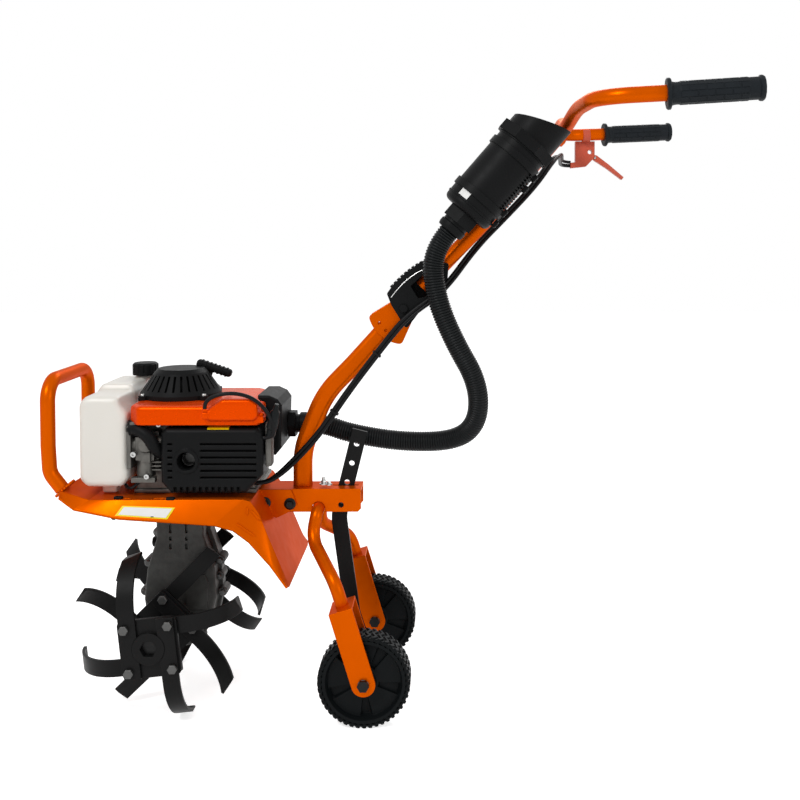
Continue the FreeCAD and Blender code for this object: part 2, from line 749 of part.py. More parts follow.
def make_gearbox():
    """Two cast halves on a flange with lugs: a column that widens into the worm case."""
    body = body_named("gearbox")
    left, right = s.column_x - s.column_width / 2, s.column_x + s.column_width / 2
    top = s.deck_top - s.sheet
    x, z = s.rotor_x, s.rotor_z
    half = s.gearbox_depth / 2
    outline = [(left, top), (left, z + 128), (left - 15, z + 80), (left - 20, z + 32),
               (left - 14, z - 8), (x - 30, z - 40), (x, z - 50), (x + 34, z - 42), (x + 64, z - 4),
               (x + 73, z + 34), (right + 17, z + 83), (right, z + 133), (right, top)]
    side_shape(body, -half, half, draw_outline, outline)
    round_edges(body, 9, lambda e: runs_along(e, ACROSS) and e.BoundBox.ZMax < 300)
    round_edges(body, 3, lambda e: lies_at(e, ACROSS, -half) and e.BoundBox.ZMin < 300)
    flange = s.gearbox_flange / 2
    lip = [(left - 5, z + 180), (left - 5, z + 126), (left - 21, z + 80), (left - 25, z + 30),
           (left - 18, z - 12), (x - 33, z - 46), (x, z - 56), (x + 38, z - 47), (x + 70, z - 6),
           (x + 79, z + 35), (right + 22, z + 85), (right + 5, z + 136), (right + 5, z + 180)]
    side_shape(body, -flange, flange, draw_outline, lip)
    lugs = [(left - 4, z + 133), (left - 19, z + 84), (left - 25, z + 37), (x - 32, z - 44),
            (x + 40, z - 42), (x + 79, z + 36), (x + 74, z + 62), (right + 22, z + 88)]
    for lug_x, lug_z in lugs:
        side_shape(body, -flange - 6, flange + 6, draw_circle, lug_x, lug_z, s.gearbox_lug)
    bearing = s.bearing_depth / 2
    side_shape(body, -bearing, bearing, draw_circle, x, z, s.bearing_boss)
    cover = [(x + 26, z + 16), (x + 60, z + 16), (x + 62, z + 58), (x + 56, z + 72), (x + 28, z + 72)]
    side_shape(body, -half - 3, -half + 1, draw_outline, cover)
    for rib_x in (s.column_x - 17, s.column_x + 8.5):
        for low, high in ((138, 152), (126, 132), (112, 121)):
            groove = [(rib_x, z + low), (rib_x + 4, z + low), (rib_x + 4, z + high), (rib_x, z + high)]
            side_pocket(body, -half - 1, -half + 5, draw_outline, groove)
    side_pocket(body, -bearing - 1, bearing + 1, draw_circle, x, z, wrap(journal_radius()) + s.running_gap)


def deck_section(y, rows):
    """The band of sheet seen from the side at one distance from the middle: its outer
    face through the given points, and its inner face one sheet below."""
    outer = [Vector(x, y, z) for x, z in rows]
    inner = []
    for i, spot in enumerate(outer):
        before = outer[max(i - 1, 0)]
        after = outer[min(i + 1, len(outer) - 1)]
        direction = (after - before).normalize()
        normal = ACROSS.cross(direction)
        if normal.z > 0:
            normal = -normal
        inner.append(spot + normal * float(s.sheet))
    return Part.makePolygon(outer + list(reversed(inner)) + [outer[0]])


def make_deck():
    """Flat sheet with flared skirts; it bends down behind as a flap over the tines, and
    two cheeks beside its notch hold the rear bracket."""
    top = float(s.deck_top)
    front, rear = float(s.deck_front), float(s.deck_rear)
    flap = (float(s.flap_x), float(s.flap_z))
    bend = [(front, top + 14), (front + 44, top), (front + 100, top), (rear - 14, top), (rear - 3, top - 3),
            (rear + 10, top - 22), (rear + 26, top - 62), flap]
    edge = [(front + 4, top + 7), (front + 26, top - 10), (front + 94, top - 24), (rear - 55, top - 34),
            (rear - 26, top - 42), (rear - 2, top - 60), (rear + 30, top - 96), (flap[0] - 1, flap[1] + 3)]
    half, skirt = float(s.deck_half), float(s.skirt_half)
    middle = Part.Face(deck_section(-half, bend)).extrude(Vector(0, 2 * half, 0))
    skirts = [Part.makeLoft([deck_section(sign * half, bend), deck_section(sign * skirt, edge)], True, True)
              for sign in (-1, 1)]
    deck = middle.fuse(skirts).removeSplitter()
    sheet = float(s.sheet)
    notch = float(s.bracket_half) + float(s.fit_gap)
    low = bracket_low()
    deck = deck.cut(Part.makeBox(120, 2 * (notch + sheet), 46, Vector(rear - 14, -notch - sheet, top - 44)))
    cheek = [(rear - 18, top - sheet), (rear + 48, top - sheet), (rear + 57, low + 12), (rear + 49, low + 3),
             (rear + 24, low - 9), (rear, low + 2)]
    cheeks = [prism(cheek, sign * (notch + sheet / 2), sheet) for sign in (-1, 1)]
    deck = deck.fuse(cheeks)
    slots = [prism([(x - 11, top - 9), (x + 11, top - 9), (x + 11, top + 9), (x - 11, top + 9)],
                   -half + 7, 7) for x in (front + 92, front + 150)]
    keep(feature(deck.cut(slots).removeSplitter()), "deck")


def prism(outline, y, width):
    """A plate seen from the side, as wide as given about a distance y."""
    corners = [Vector(float(x), float(y) - width / 2, float(z)) for x, z in outline]
    return Part.Face(Part.makePolygon(corners + [corners[0]])).extrude(Vector(0, width, 0))


def bracket_low():
    return float(s.deck_top) - float(s.sheet) - float(s.bracket_height)


def make_guard():
    """A tube hoop on the deck's front edge."""
    x, half, top = float(s.guard_x), float(s.guard_half), float(s.guard_top)
    front, plane = float(s.deck_front), float(s.deck_top)
    leg = [(front - 2, half, plane + 13), (x + 2, half, plane + 38), (x, half, plane + 80), (x, half, top)]
    points = leg + [(px, -py, pz) for px, py, pz in reversed(leg)]
    keep(feature(tube(points, s.guard_tube, 2, [30, 40, 32, 32, 40, 30])), "front_guard")


# ---------------------------------------------------------------- engine

def make_engine_block():
    block = box(s.crank_x - 55, s.crank_x + 128, s.cover_back, wrap(70), s.deck_top, s.shroud_foot)
    keep(block, "engine_block")


def make_shroud():
    """A moulded housing over the flywheel, with a bulge over the spark plug and two
    clips for its lead."""
    body = body_named("engine_shroud")
    x0, x1 = s.crank_x - 56, s.crank_x + 146
    foot, top = s.shroud_foot, s.recoil_z
    plan_shape(body, foot, top, draw_outline, [
        (x0, -84), (x0 + 16, -104), (x1 - 6, -104), (x1, -96), (x1, -48), (x1 - 17, -46),
        (x1 - 17, 62), (x1 - 34, 80), (x0 + 20, 80), (x0, 58)])
    round_edges(body, 9, lambda e: runs_along(e, UP) and e.BoundBox.YMax < -80)
    round_edges(body, 7, lambda e: lies_at(e, UP, top) and e.BoundBox.YMin < 50)
    bulge = [(x1 - 78, foot + 8), (x1 - 8, foot + 8), (x1 - 1, foot + 16), (x1 - 2, foot + 34),
             (x1 - 12, foot + 42), (x1 - 56, foot + 42), (x1 - 78, foot + 26)]
    side_shape(body, -113, -80, draw_outline, bulge)
    round_edges(body, 6, lambda e: lies_at(e, ACROSS, -113))
    for x, z, front in ((x1 - 86, foot + 12, -116), (x1 - 4, foot + 4, -104)):
        clip = [(x, z), (x + 10, z), (x + 10, z + 11), (x, z + 11)]
        side_shape(body, front, front + 22, draw_outline, clip)


def make_exhaust_cover():
    """A moulded cover with louvres, a row of lower vents and the outlet."""
    body = body_named("exhaust_cover")
    left, right, low, top = s.cover_left, s.cover_right, s.cover_foot, s.cover_top
    front, back = s.cover_front, s.cover_back
    side_shape(body, front, back, draw_outline, [
        (left, low + 17), (left + 14, low), (right - 26, low), (right, low + 27), (right, top - 8),
        (right - 8, top), (left + 8, top), (left, top - 8)])
    round_edges(body, 9, lambda e: lies_at(e, ACROSS, front))
    side_shape(body, front - 2, front + 5, draw_circle, s.outlet_x, s.outlet_z, s.outlet_radius + 5)
    side_pocket(body, front - 3, back - 8, draw_circle, s.outlet_x, s.outlet_z, s.outlet_radius)
    highest = top - 26
    beside = s.outlet_radius + 7
    for x0, x1 in ((left + 11, s.outlet_x - beside), (s.outlet_x + beside, right - 9)):
        slot = [(x0, highest), (x1, highest), (x1, highest + s.louvre_gap), (x0, highest + s.louvre_gap)]
        cutting = side_pocket(body, front - 1, front + 7, draw_outline, slot)
        copies_along(body, cutting, s.louvre_count, s.louvre_pitch, "Z_Axis", back=True)
    vent = [(left + 20, low - 1), (left + 25, low - 1), (left + 25, low + 10), (left + 20, low + 10)]
    cutting = side_pocket(body, front - 1, front + 9, draw_outline, vent)
    copies_along(body, cutting, 11, wrap(9.6), "X_Axis")


def make_recoil():
    """A hollow dome with slots all round, on four ears, and the grip of its cord."""
    body = body_named("recoil_starter")
    top, foot, height = s.recoil_top_radius, s.recoil_radius, s.recoil_height
    wall = s.recoil_wall
    revolved(body, [
        (0, height - wall), (top - 7, height - wall), (top - 1, height - wall - 4),
        (foot - wall - 3, 10), (foot - wall, 6), (foot - wall, 0), (foot, 0), (foot, 7), (foot - 3, 11),
        (top + 1, height - 6), (top - 5, height), (0, height)])
    ear = plan_shape(body, wrap(0), wrap(7), draw_circle, s.recoil_ear, wrap(0), wrap(6.5))
    turned_copies(body, ear, 4)
    inner, outer = top - 1, foot + 1
    half = s.recoil_slot / 2
    slot = plan_shape(body, wrap(13), height - 9, draw_outline,
                      [(inner, -half), (outer, -half), (outer, half), (inner, half)],
                      kind="PartDesign::Pocket")
    turned_copies(body, slot, s.recoil_slots)
    place(body, s.crank_x, 0, s.recoil_z, Rotation(UP, 45))

    grip = Part.makeBox(60, 15, 13, Vector(-30, -7.5, -6.5))
    grip = grip.makeFillet(5, grip.Edges)
    grip.Placement = Placement(Vector(-281, 24, 521), Rotation(ACROSS, 19))
    stem = Part.makeCylinder(4, 17, Vector(-290, 24, 505), Vector(0.25, 0, 1))
    keep(feature(grip.fuse(stem).removeSplitter().cut(body_solid(body))), "starter_grip")


def body_solid(body):
    doc.recompute()
    return body.Shape


def make_tank():
    """A moulded tank of two lobes that stands on the deck, and its ribbed cap."""
    body = body_named("fuel_tank")
    low, left = s.deck_top + 16, s.crank_x - 135
    side_shape(body, wrap(-90), wrap(-14), draw_outline, [
        (left, low + 12), (left + 11, low), (left + 64, low), (left + 75, low + 12),
        (left + 75, low + 112), (left + 65, low + 124), (left + 61, low + 140), (left + 10, low + 140),
        (left, low + 128)])
    round_edges(body, 9, lambda e: lies_at(e, ACROSS, -90))
    side_shape(body, wrap(-16), wrap(90), draw_outline, [
        (left + 2, low + 10), (left + 12, low), (left + 56, low), (left + 66, low + 10),
        (left + 66, low + 137), (left + 58, low + 149), (left + 12, low + 149), (left + 2, low + 134)])
    round_edges(body, 9, lambda e: lies_at(e, ACROSS, 90))
    for y in (-62, 52):
        side_shape(body, wrap(y), wrap(y + 20), draw_outline, [
            (left + 26, s.deck_top), (left + 50, s.deck_top), (left + 50, low + 4), (left + 26, low + 4)])
    plan_shape(body, low + 146, low + 154, draw_circle, s.cap_x, s.cap_y, s.cap_radius - 7)

    cap = body_named("fuel_cap")
    radius = s.cap_radius
    revolved(cap, [(0, 0), (radius, 0), (radius, 17), (radius - 3, 20), (0, 20)])
    rib = plan_shape(cap, wrap(4), wrap(21), draw_circle, radius + 1.2, wrap(0), wrap(2.6),
                     kind="PartDesign::Pocket")
    turned_copies(cap, rib, 14)
    place(cap, s.cap_x, s.cap_y, low + 154)


def make_engine_sides():
    """The carburettor before the cylinder, and the intake box behind it with the hose's
    fitting."""
    flange = Part.makeBox(6, 36, 66, Vector(-388, -94, 382))
    barrel = Part.makeCylinder(14, 48, Vector(-386, -74, 416), Vector(1, 0, 0))
    case = Part.makeBox(28, 32, 36, Vector(-376, -90, 394))
    bowl = Part.makeCylinder(14, 30, Vector(-364, -74, 368), UP)
    drain = Part.makeCylinder(5, 10, Vector(-364, -74, 360), UP)
    drum = Part.makeCylinder(11, 12, Vector(-358, -100, 420), ACROSS)
    arm = Part.makeBox(14, 18, 60, Vector(-358, -76, 376))
    keep(feature(flange.fuse([barrel, case, bowl, drain, drum, arm]).removeSplitter()), "carburettor")

    body = body_named("intake_box")
    face = s.intake_face
    side_shape(body, wrap(-42), wrap(58), draw_outline, [
        (face - 38, wrap(391)), (face - 10.5, wrap(391)), (face - 2, wrap(401)), (face, wrap(470)),
        (face - 7, wrap(480)), (face - 20, wrap(486)), (face - 38, wrap(486))])
    round_edges(body, 4, lambda e: lies_at(e, ACROSS, -42))

    spot = Vector(float(face), float(s.fitting_y), float(s.fitting_z))
    nut = hexagon(40, 12, Vector(0, 0, 0))
    nut.rotate(Vector(0, 0, 0), UP, -90)
    nut.translate(spot)
    nozzle = Part.makeCylinder(15, float(s.fitting_length), spot, Vector(1, 0, 0))
    keep(feature(nut.fuse(nozzle).removeSplitter()), "hose_fitting")


# ---------------------------------------------------------------- bracket and lower column

def make_bracket():
    """A channel under the deck, open below, with seats for the wheel frame and the drag bar."""
    body = body_named("rear_bracket")
    top = s.deck_top - s.sheet
    low = top - s.bracket_height
    half, wall = s.bracket_half, s.bracket_wall
    front, rear = s.bracket_front, s.bracket_rear
    side_shape(body, -half, half, draw_outline, [
        (front, low), (rear - 5, low), (rear, low + 5), (rear, top), (front, top)])
    side_pocket(body, -half + wall, half - wall, draw_outline, [
        (front - 5, low - 5), (rear + 5, low - 5), (rear + 5, top - wall), (front - 5, top - wall)])
    seat = s.leg_tube / 2 + s.fit_gap
    x, z = s.leg_pivot_x, s.leg_pivot_z
    side_pocket(body, -half - 1, half + 1, draw_circle, x, z, seat)
    side_pocket(body, -half - 1, half + 1, draw_outline, [
        (x - seat, z - 20), (x + seat, z - 20), (x + seat, z), (x - seat, z)])
    side_pocket(body, -half - 1, half + 1, draw_circle, s.drag_pin_x, s.drag_pin_z, s.drag_hole / 2)
    across = s.drag_thick / 2 + s.fit_gap
    plan_shape(body, top - 10, top + 1, draw_outline, [
        (s.drag_pin_x - 16, -across), (s.drag_pin_x + 26, -across), (s.drag_pin_x + 26, across),
        (s.drag_pin_x - 16, across)], kind="PartDesign::Pocket")


def round_sided(start, half_width, half_thick):
    """A section square to Z with two flat sides and two round ones."""
    flat = half_width - half_thick
    right, left = start + Vector(flat, 0, 0), start - Vector(flat, 0, 0)
    across, out = Vector(0, half_thick, 0), Vector(half_thick, 0, 0)
    edges = [Part.Arc(right - across, right + out, right + across),
             Part.LineSegment(right + across, left + across),
             Part.Arc(left + across, left - out, left - across),
             Part.LineSegment(left - across, right - across)]
    return Part.Wire([edge.toShape() for edge in edges])


def make_lower_column():
    """A flattened tube, and the two plates with index holes at its head."""
    foot = float(s.deck_top) - float(s.sheet)
    route = [(-133, 0, foot), (-133, 0, 392), (-97, 0, 482), (-50, 0, 530), (20, 0, 607)]
    width, thick = float(s.column_side) / 2, float(s.column_thick) / 2
    section = round_sided(Vector(*route[0]), width, thick)
    keep(feature(swept(bent_wire(route, [120, 150, 150]), section)), "lower_column")

    pivot = Vector(float(s.pivot_x), 0, float(s.pivot_z))
    plate = float(s.pivot_plate)
    plates = []
    for sign in (-1, 1):
        y = sign * (thick + plate / 2)
        reach = float(s.plate_radius)
        disc = along_y(reach, y - plate / 2, y + plate / 2, pivot.x, pivot.z)
        far = [pivot + Vector(2 * reach * math.cos(a), 0, 2 * reach * math.sin(a))
               for a in (math.radians(-158), math.radians(-131), math.radians(-104))]
        near = [pivot + Vector(-12, 0, 15), pivot + Vector(18, 0, -10)]
        fan = disc.common(prism([(p.x, p.z) for p in (near[0], *far, near[1])], y, plate))
        head = along_y(16, y - plate / 2, y + plate / 2, pivot.x, pivot.z)
        made = fan.fuse(head).removeSplitter()
        corners = [e for e in made.Edges if runs_along(e, ACROSS) and
                   (e.Vertexes[0].Point - pivot).dot(Vector(1, 0, 1)) < -50]
        made = made.makeFillet(7, corners)
        holes = [pivot_hole(float(s.pivot_bolt) / 2 + float(s.running_gap))]
        for angle in (-149, -129, -109):
            turned = math.radians(angle)
            holes.append(along_y(2.6, -50, 50, pivot.x + float(s.index_radius) * math.cos(turned),
                                 pivot.z + float(s.index_radius) * math.sin(turned)))
        plates.append(made.cut(holes))
    keep(feature(Part.makeCompound(plates)), "pivot_plates")


def pivot_hole(radius):
    return along_y(radius, -100, 100, s.pivot_x, s.pivot_z)


DRAG_BAR = [(-40, 423), (-75, 283), (-47, 76)]


def make_drag_bar():
    """A bent flat bar with a row of holes for its pin."""
    bar = flat_strap(DRAG_BAR, s.drag_width, s.drag_thick, 60)
    (top_x, top_z), (knee_x, knee_z) = DRAG_BAR[:2]
    along = Vector(top_x - knee_x, 0, top_z - knee_z).normalize()
    pin = Vector(float(s.drag_pin_x), 0, float(s.drag_pin_z))
    spots = [pin + along * (float(s.drag_pitch) * number) for number in range(4)]
    holes = [along_y(float(s.drag_hole) / 2, -20, 20, spot.x, spot.z) for spot in spots]
    keep(feature(bar.cut(holes)), "drag_bar")


# ---------------------------------------------------------------- handlebar

MAST_FOOT = [(60, 0, 655), (165, 0, 764)]


def bar_middle_point():
    return Vector(float(s.bar_middle_x), 0, float(s.bar_middle_z))


def mast_direction():
    return (bar_middle_point() - Vector(*MAST_FOOT[1])).normalize()


def make_mast(bar_middle):
    """The upper column; its end seats below the middle of the handlebar."""
    seat = float(s.bar_tube) / 2 + float(s.fit_gap)
    end = bar_middle - mast_direction() * seat
    mast = rod(MAST_FOOT + [tuple(end)], s.mast_tube, 500)
    keep(feature(mast), "mast")
    return mast


def make_handlebar():
    """A bent bar that dips at its middle, with a flanged grip on each end."""
    half, front, z = float(s.grip_half), float(s.grip_front), float(s.bar_end_z)
    middle = bar_middle_point()
    length = float(s.grip_length)
    right = [middle + Vector(8, 90, float(s.bar_hump)), Vector(303, half - 20, z),
             Vector(front + length, half, z + 9)]
    left = [Vector(p.x, -p.y, p.z) for p in right]
    points = list(reversed(left)) + [middle] + right
    radii = [55, 250, 120, 250, 55]
    keep(feature(rod(points, s.bar_tube, radii)), "handlebar")
    for side, sign in WHEEL_SIDES.items():
        corner, tip = (right if sign > 0 else left)[1:]
        axis = (tip - corner).normalize()
        start = tip - axis * length
        pieces = [(s.grip_outer, 0, length + 3), (s.grip_flange, 0, 6), (s.grip_outer + 5, length - 3, 6)]
        grip = [Part.makeCylinder(float(wide) / 2, long, start + axis * offset, axis)
                for wide, offset, long in pieces]
        hole = Part.makeCylinder(float(s.bar_tube) / 2 + 0.1, length, start, axis)
        keep(feature(grip[0].fuse(grip[1:]).removeSplitter().cut(hole)), "grip_" + side)
    return bent_wire(points, radii).distToShape(Part.Vertex(middle))[1][0][0]


def make_knuckle(mast):
    """A cast fork round the pivot plates, with a window in its cheeks and a socket for
    the mast."""
    half = float(s.knuckle_half)
    outline = [(5, 646), (15, 660), (36, 680), (60, 697), (76, 700), (104, 694), (102, 670), (72, 636),
               (36, 589), (12, 628)]
    knuckle = prism(outline, 0, 2 * half)
    knuckle = knuckle.makeFillet(4, [e for e in knuckle.Edges if runs_along(e, ACROSS)])
    gap = float(s.column_thick) / 2 + float(s.pivot_plate) + 0.6
    room = along_y(37, -gap, gap, s.pivot_x, s.pivot_z)
    mouth = Part.makeBox(80, 2 * gap, 120, Vector(-30, -gap, 530))
    window = prism([(43, 658), (62, 675), (86, 675), (89, 664), (68, 641), (55, 638)], 0, 4 * half)
    knuckle = knuckle.cut([room, mouth, mast, window, pivot_hole(float(s.pivot_bolt) / 2)])
    keep(feature(knuckle.removeSplitter()), "knuckle")
    head = along_y(9, half, half + 5, s.pivot_x, s.pivot_z)
    bolt = along_y(float(s.pivot_bolt) / 2, -half - 2, half, s.pivot_x, s.pivot_z)
    keep(feature(bolt.fuse(head).removeSplitter()), "pivot_bolt")


def polygon_prism(sides, across, foot, axis, height):
    """A prism with flat sides along an axis."""
    side = ACROSS.cross(axis).normalize()
    radius = float(across) / 2 / math.cos(math.pi / sides)
    corners = [foot + side * (radius * math.cos(a)) + ACROSS * (radius * math.sin(a))
               for a in (math.pi * (2 * n + 1) / sides for n in range(sides + 1))]
    return Part.Face(Part.makePolygon(corners)).extrude(axis * height)


def make_filter(mast):
    """The air filter: a can with a faceted collar, a slanted cup above and a neck below,
    clamped to the mast."""
    axis = mast_direction()
    middle = Vector(float(s.filter_x), float(s.filter_y), float(s.filter_z))
    length, radius = float(s.filter_length), float(s.filter_radius)
    foot, head = middle - axis * (length / 2), middle + axis * (length / 2)
    can = Part.makeCylinder(radius, length, foot, axis)
    rim = [e for e in can.Edges if e.Closed and (e.BoundBox.Center - foot).Length < 5]
    keep(feature(can.makeFillet(9, rim)), "filter_can")
    neck = float(s.neck_length)
    outlet = polygon_prism(6, 50, foot - axis * 20, axis, 20)
    outlet = outlet.fuse(Part.makeCylinder(21, neck, foot - axis * neck, axis)).removeSplitter()
    keep(feature(outlet), "filter_outlet")

    collar = float(s.collar_height)
    rise = collar + float(s.cup_high)
    cup = polygon_prism(8, 2 * (radius + float(s.collar_proud)), head, axis, collar)
    cup = cup.fuse(Part.makeCylinder(radius, rise, head, axis))
    beside = Part.makeCylinder(float(s.mast_tube) / 2 + 2, 400, Vector(*MAST_FOOT[1]), axis)
    cup = cup.cut([beside, Part.makeCylinder(radius - float(s.cup_wall), rise, head + axis * 5, axis)])
    out = Vector(axis.z, 0, -axis.x)
    low_lip = head + axis * (collar + float(s.cup_low)) - out * radius
    slant = axis * (float(s.cup_high) - float(s.cup_low)) + out * (2 * radius)
    keep(feature(cup.cut(half_space(low_lip, slant.normalize())).removeSplitter()), "filter_cup")

    rings = []
    band, wall = 12, 3
    for part in (-0.3, 0.32):
        spot = middle + axis * (length * part)
        mast_spot = Vector(*MAST_FOOT[1])
        mast_spot = mast_spot + axis * (spot - mast_spot).dot(axis)
        mast_radius = float(s.mast_tube) / 2
        ring = Part.makeCylinder(radius + wall, band, spot, axis)
        ring = ring.fuse(Part.makeCylinder(mast_radius + wall, band, mast_spot, axis))
        reach = mast_spot - spot
        bar = Part.makeBox(band, reach.Length, band)
        direction = Vector(reach).normalize()
        side = direction.cross(axis)
        bar.Placement = Placement(spot - side * (band / 2), Rotation(side, direction, axis, "ZYX"))
        ring = ring.fuse(bar)
        ring = ring.cut([Part.makeCylinder(radius, 2 * band, spot - axis * (band / 2), axis), mast])
        rings.append(ring.removeSplitter())
    keep(feature(Part.makeCompound(rings)), "filter_clamps")
    return foot - axis * neck, axis


def half_space(spot, slant):
    """A big block above a slanted plane that holds the Y axis."""
    normal = slant.cross(ACROSS)
    if normal.z < 0:
        normal = -normal
    corners = [spot + slant * a + ACROSS * b for a, b in ((-200, -200), (300, -200), (300, 200), (-200, 200))]
    return Part.Face(Part.makePolygon(corners + [corners[0]])).extrude(normal * 200)


def make_throttle():
    """The throttle's housing hangs under the right grip's bar; its lever is a flat blade."""
    body = body_named("throttle_body")
    half = s.grip_half
    under = s.bar_end_z - s.bar_tube / 2 + 2
    left = s.grip_front - 50.6
    side_shape(body, half - 8, half + 6, draw_outline, [
        (left, under), (left + 36, under), (left + 36, under - 30), (left + 20, under - 47),
        (left - 9, under - 50), (left - 9, under - 40), (left, under - 39)])
    side_pocket(body, half - 9, half + 7, draw_circle, left + 27, under - 20, wrap(4))
    seat = cylinder(s.bar_tube / 2 + s.fit_gap, wrap(80), s.grip_front - 70, half, s.bar_end_z + 3.6,
                    Rotation(ACROSS, 87.7))
    seated = cut(body, seat)
    PARTS.remove(body)
    body.Label = "throttle_housing"
    keep(seated, "throttle_body")
    x, z = float(left) + 38.3, float(under) - 30
    blade = prism([(x - 2, z + 8), (x + 4, z + 7), (x + 52, z - 23), (x + 50, z - 31), (x - 2, z - 2)],
                  float(half), 4)
    keep(feature(blade), "throttle_lever")
    return Vector(float(left) - 9, float(half), float(under) - 45)


# ---------------------------------------------------------------- cords

def make_hose(start, axis):
    end = Vector(float(s.intake_face) + float(s.fitting_length) + 0.1, float(s.fitting_y), float(s.fitting_z))
    points = [start, start - axis * 45, Vector(84, -50, 640), Vector(112, -46, 572), Vector(150, -30, 505),
              Vector(152, -12, 440), Vector(118, 12, 403), Vector(30, 29, 397), Vector(-60, 33, 411),
              end + Vector(36, 0, 0), end]
    keep(feature(rod(points, s.hose, None, "air_hose")), "air_hose")


def make_cables(housing):
    """The throttle cable runs up the column, behind the mast and along the bar."""
    cable = [(-201, -53, 350), (-184, -53, 350), (-168, -46, 360), (-148, -38, 378), (-104, -30, 424),
             (-60, -28, 490), (-2, -28, 566), (36, -29, 612), (92, -27, 650), (146, 18, 722),
             (196, 26, 772), (244, 28, 824), (276, 70, 868), (300, 150, 879), (310, 225, 876),
             (316, housing.y, housing.z), housing - Vector(0.1, 0, 0)]
    keep(feature(rod(cable, s.cable, None, "throttle_cable")), "throttle_cable")
    lead = [(-264, -110, 473.3), (-265, -113, 484), (-255, -115, 495), (-236, -115, 501),
            (-212, -114, 501), (-188, -112, 492), (-170, -109, 472), (-161, -103, 448),
            (-165, -96, 430), (-179.9, -94, 430)]
    keep(feature(rod(lead, 6, None, "spark_lead")), "spark_lead")


# ---------------------------------------------------------------- build

for side, sign in WHEEL_SIDES.items():
    make_wheel(side, sign)
    make_fork(side, sign)
make_axle_bolts()
make_wheel_frame()
make_rotor()
make_gearbox()
make_deck()
make_guard()
make_engine_block()
make_shroud()
make_exhaust_cover()
make_recoil()
make_tank()
make_engine_sides()
make_bracket()
make_lower_column()
make_drag_bar()
mast = make_mast(make_handlebar())
make_knuckle(mast)
hose_start, hose_axis = make_filter(mast)
housing = make_throttle()
make_hose(hose_start, hose_axis)
make_cables(housing)
doc.recompute()

for obj in doc.Objects:
    if "Invalid" in obj.State or "Error" in obj.State:
        raise RuntimeError("failed: %s %s" % (obj.Name, obj.Label))
os.makedirs("parts", exist_ok=True)
for obj in PARTS:
    if obj.Shape.isNull() or not obj.Shape.isValid():
        raise RuntimeError("bad shape: " + obj.Label)
    obj.Shape.exportStep("parts/%s.step" % obj.Label)
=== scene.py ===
"""Looks of the mini tiller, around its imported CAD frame.

Blender's own unit is the metre. Sizes and places on the machine are written in millimetres, in
the frame of the CAD model: X towards the handlebar, Y to the machine's right, Z up."""
import json
import math

import bmesh
import bpy
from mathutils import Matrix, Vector
from mathutils.bvhtree import BVHTree


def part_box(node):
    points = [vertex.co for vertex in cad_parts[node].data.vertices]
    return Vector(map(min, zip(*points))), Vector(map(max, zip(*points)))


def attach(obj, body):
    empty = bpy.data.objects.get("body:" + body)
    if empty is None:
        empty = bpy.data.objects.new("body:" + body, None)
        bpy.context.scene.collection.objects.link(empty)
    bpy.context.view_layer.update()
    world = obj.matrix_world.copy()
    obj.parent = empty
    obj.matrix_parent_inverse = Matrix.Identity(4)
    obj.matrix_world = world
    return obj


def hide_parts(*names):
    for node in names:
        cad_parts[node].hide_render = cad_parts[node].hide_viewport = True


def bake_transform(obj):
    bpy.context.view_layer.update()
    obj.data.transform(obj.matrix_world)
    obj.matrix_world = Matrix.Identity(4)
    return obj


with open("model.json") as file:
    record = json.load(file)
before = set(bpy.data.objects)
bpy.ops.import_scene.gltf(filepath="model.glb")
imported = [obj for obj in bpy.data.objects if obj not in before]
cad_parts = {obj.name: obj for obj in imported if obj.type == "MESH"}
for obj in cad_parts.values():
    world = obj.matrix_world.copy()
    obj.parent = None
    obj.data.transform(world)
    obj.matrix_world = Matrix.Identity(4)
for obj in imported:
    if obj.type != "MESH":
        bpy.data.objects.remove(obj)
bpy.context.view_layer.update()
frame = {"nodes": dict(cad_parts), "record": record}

MM = 0.001
SLOTS = {part["node"]: part["material_slot"] for part in frame["record"]["subparts"]}

# ------------------------------------------------------------------ camera, light and floor

CAMERA_PLACE = (0.0961, -1.5705, 0.7343)     # metres
CAMERA_PITCH = 2.04          # degrees below level
CAMERA_TURN = 0.33           # degrees to the right
CAMERA_LENS = 43.78          # mm on a 36 mm sensor
CAMERA_SHIFT = (-0.0619, -0.159)

SOFT_LIGHT = 0.46            # the world's even light on the machine
LAMPS = (                    # name, place, aim and size in metres, power in watts
    ("key", (-1.2, -1.9, 2.4), (0, 0, 0.4), (0.7, 0.7), 38),
    ("fill", (1.9, -1.6, 1.3), (0, 0, 0.4), (1.0, 1.0), 10),
    ("rim", (0.3, 2.2, 2.2), (0, 0, 0.5), (1.4, 0.8), 20))
FLOOR_REACH = 8.0            # metres each way
FLOOR_GLOW = 0.68            # added for the camera alone, so that the floor is near white


def make_camera():
    data = bpy.data.cameras.new("camera")
    data.lens = CAMERA_LENS
    data.shift_x, data.shift_y = CAMERA_SHIFT
    camera = bpy.data.objects.new("camera", data)
    camera.location = CAMERA_PLACE
    camera.rotation_euler = (math.radians(90 - CAMERA_PITCH), 0, math.radians(-CAMERA_TURN))
    bpy.context.collection.objects.link(camera)
    bpy.context.scene.camera = camera


def area_light(name, place, aim, size, watts):
    data = bpy.data.lights.new(name, "AREA")
    data.shape = "RECTANGLE"
    data.size, data.size_y = size
    data.energy = watts
    lamp = bpy.data.objects.new(name, data)
    lamp.location = place
    lamp.rotation_euler = (Vector(aim) - Vector(place)).to_track_quat("-Z", "Y").to_euler()
    bpy.context.collection.objects.link(lamp)


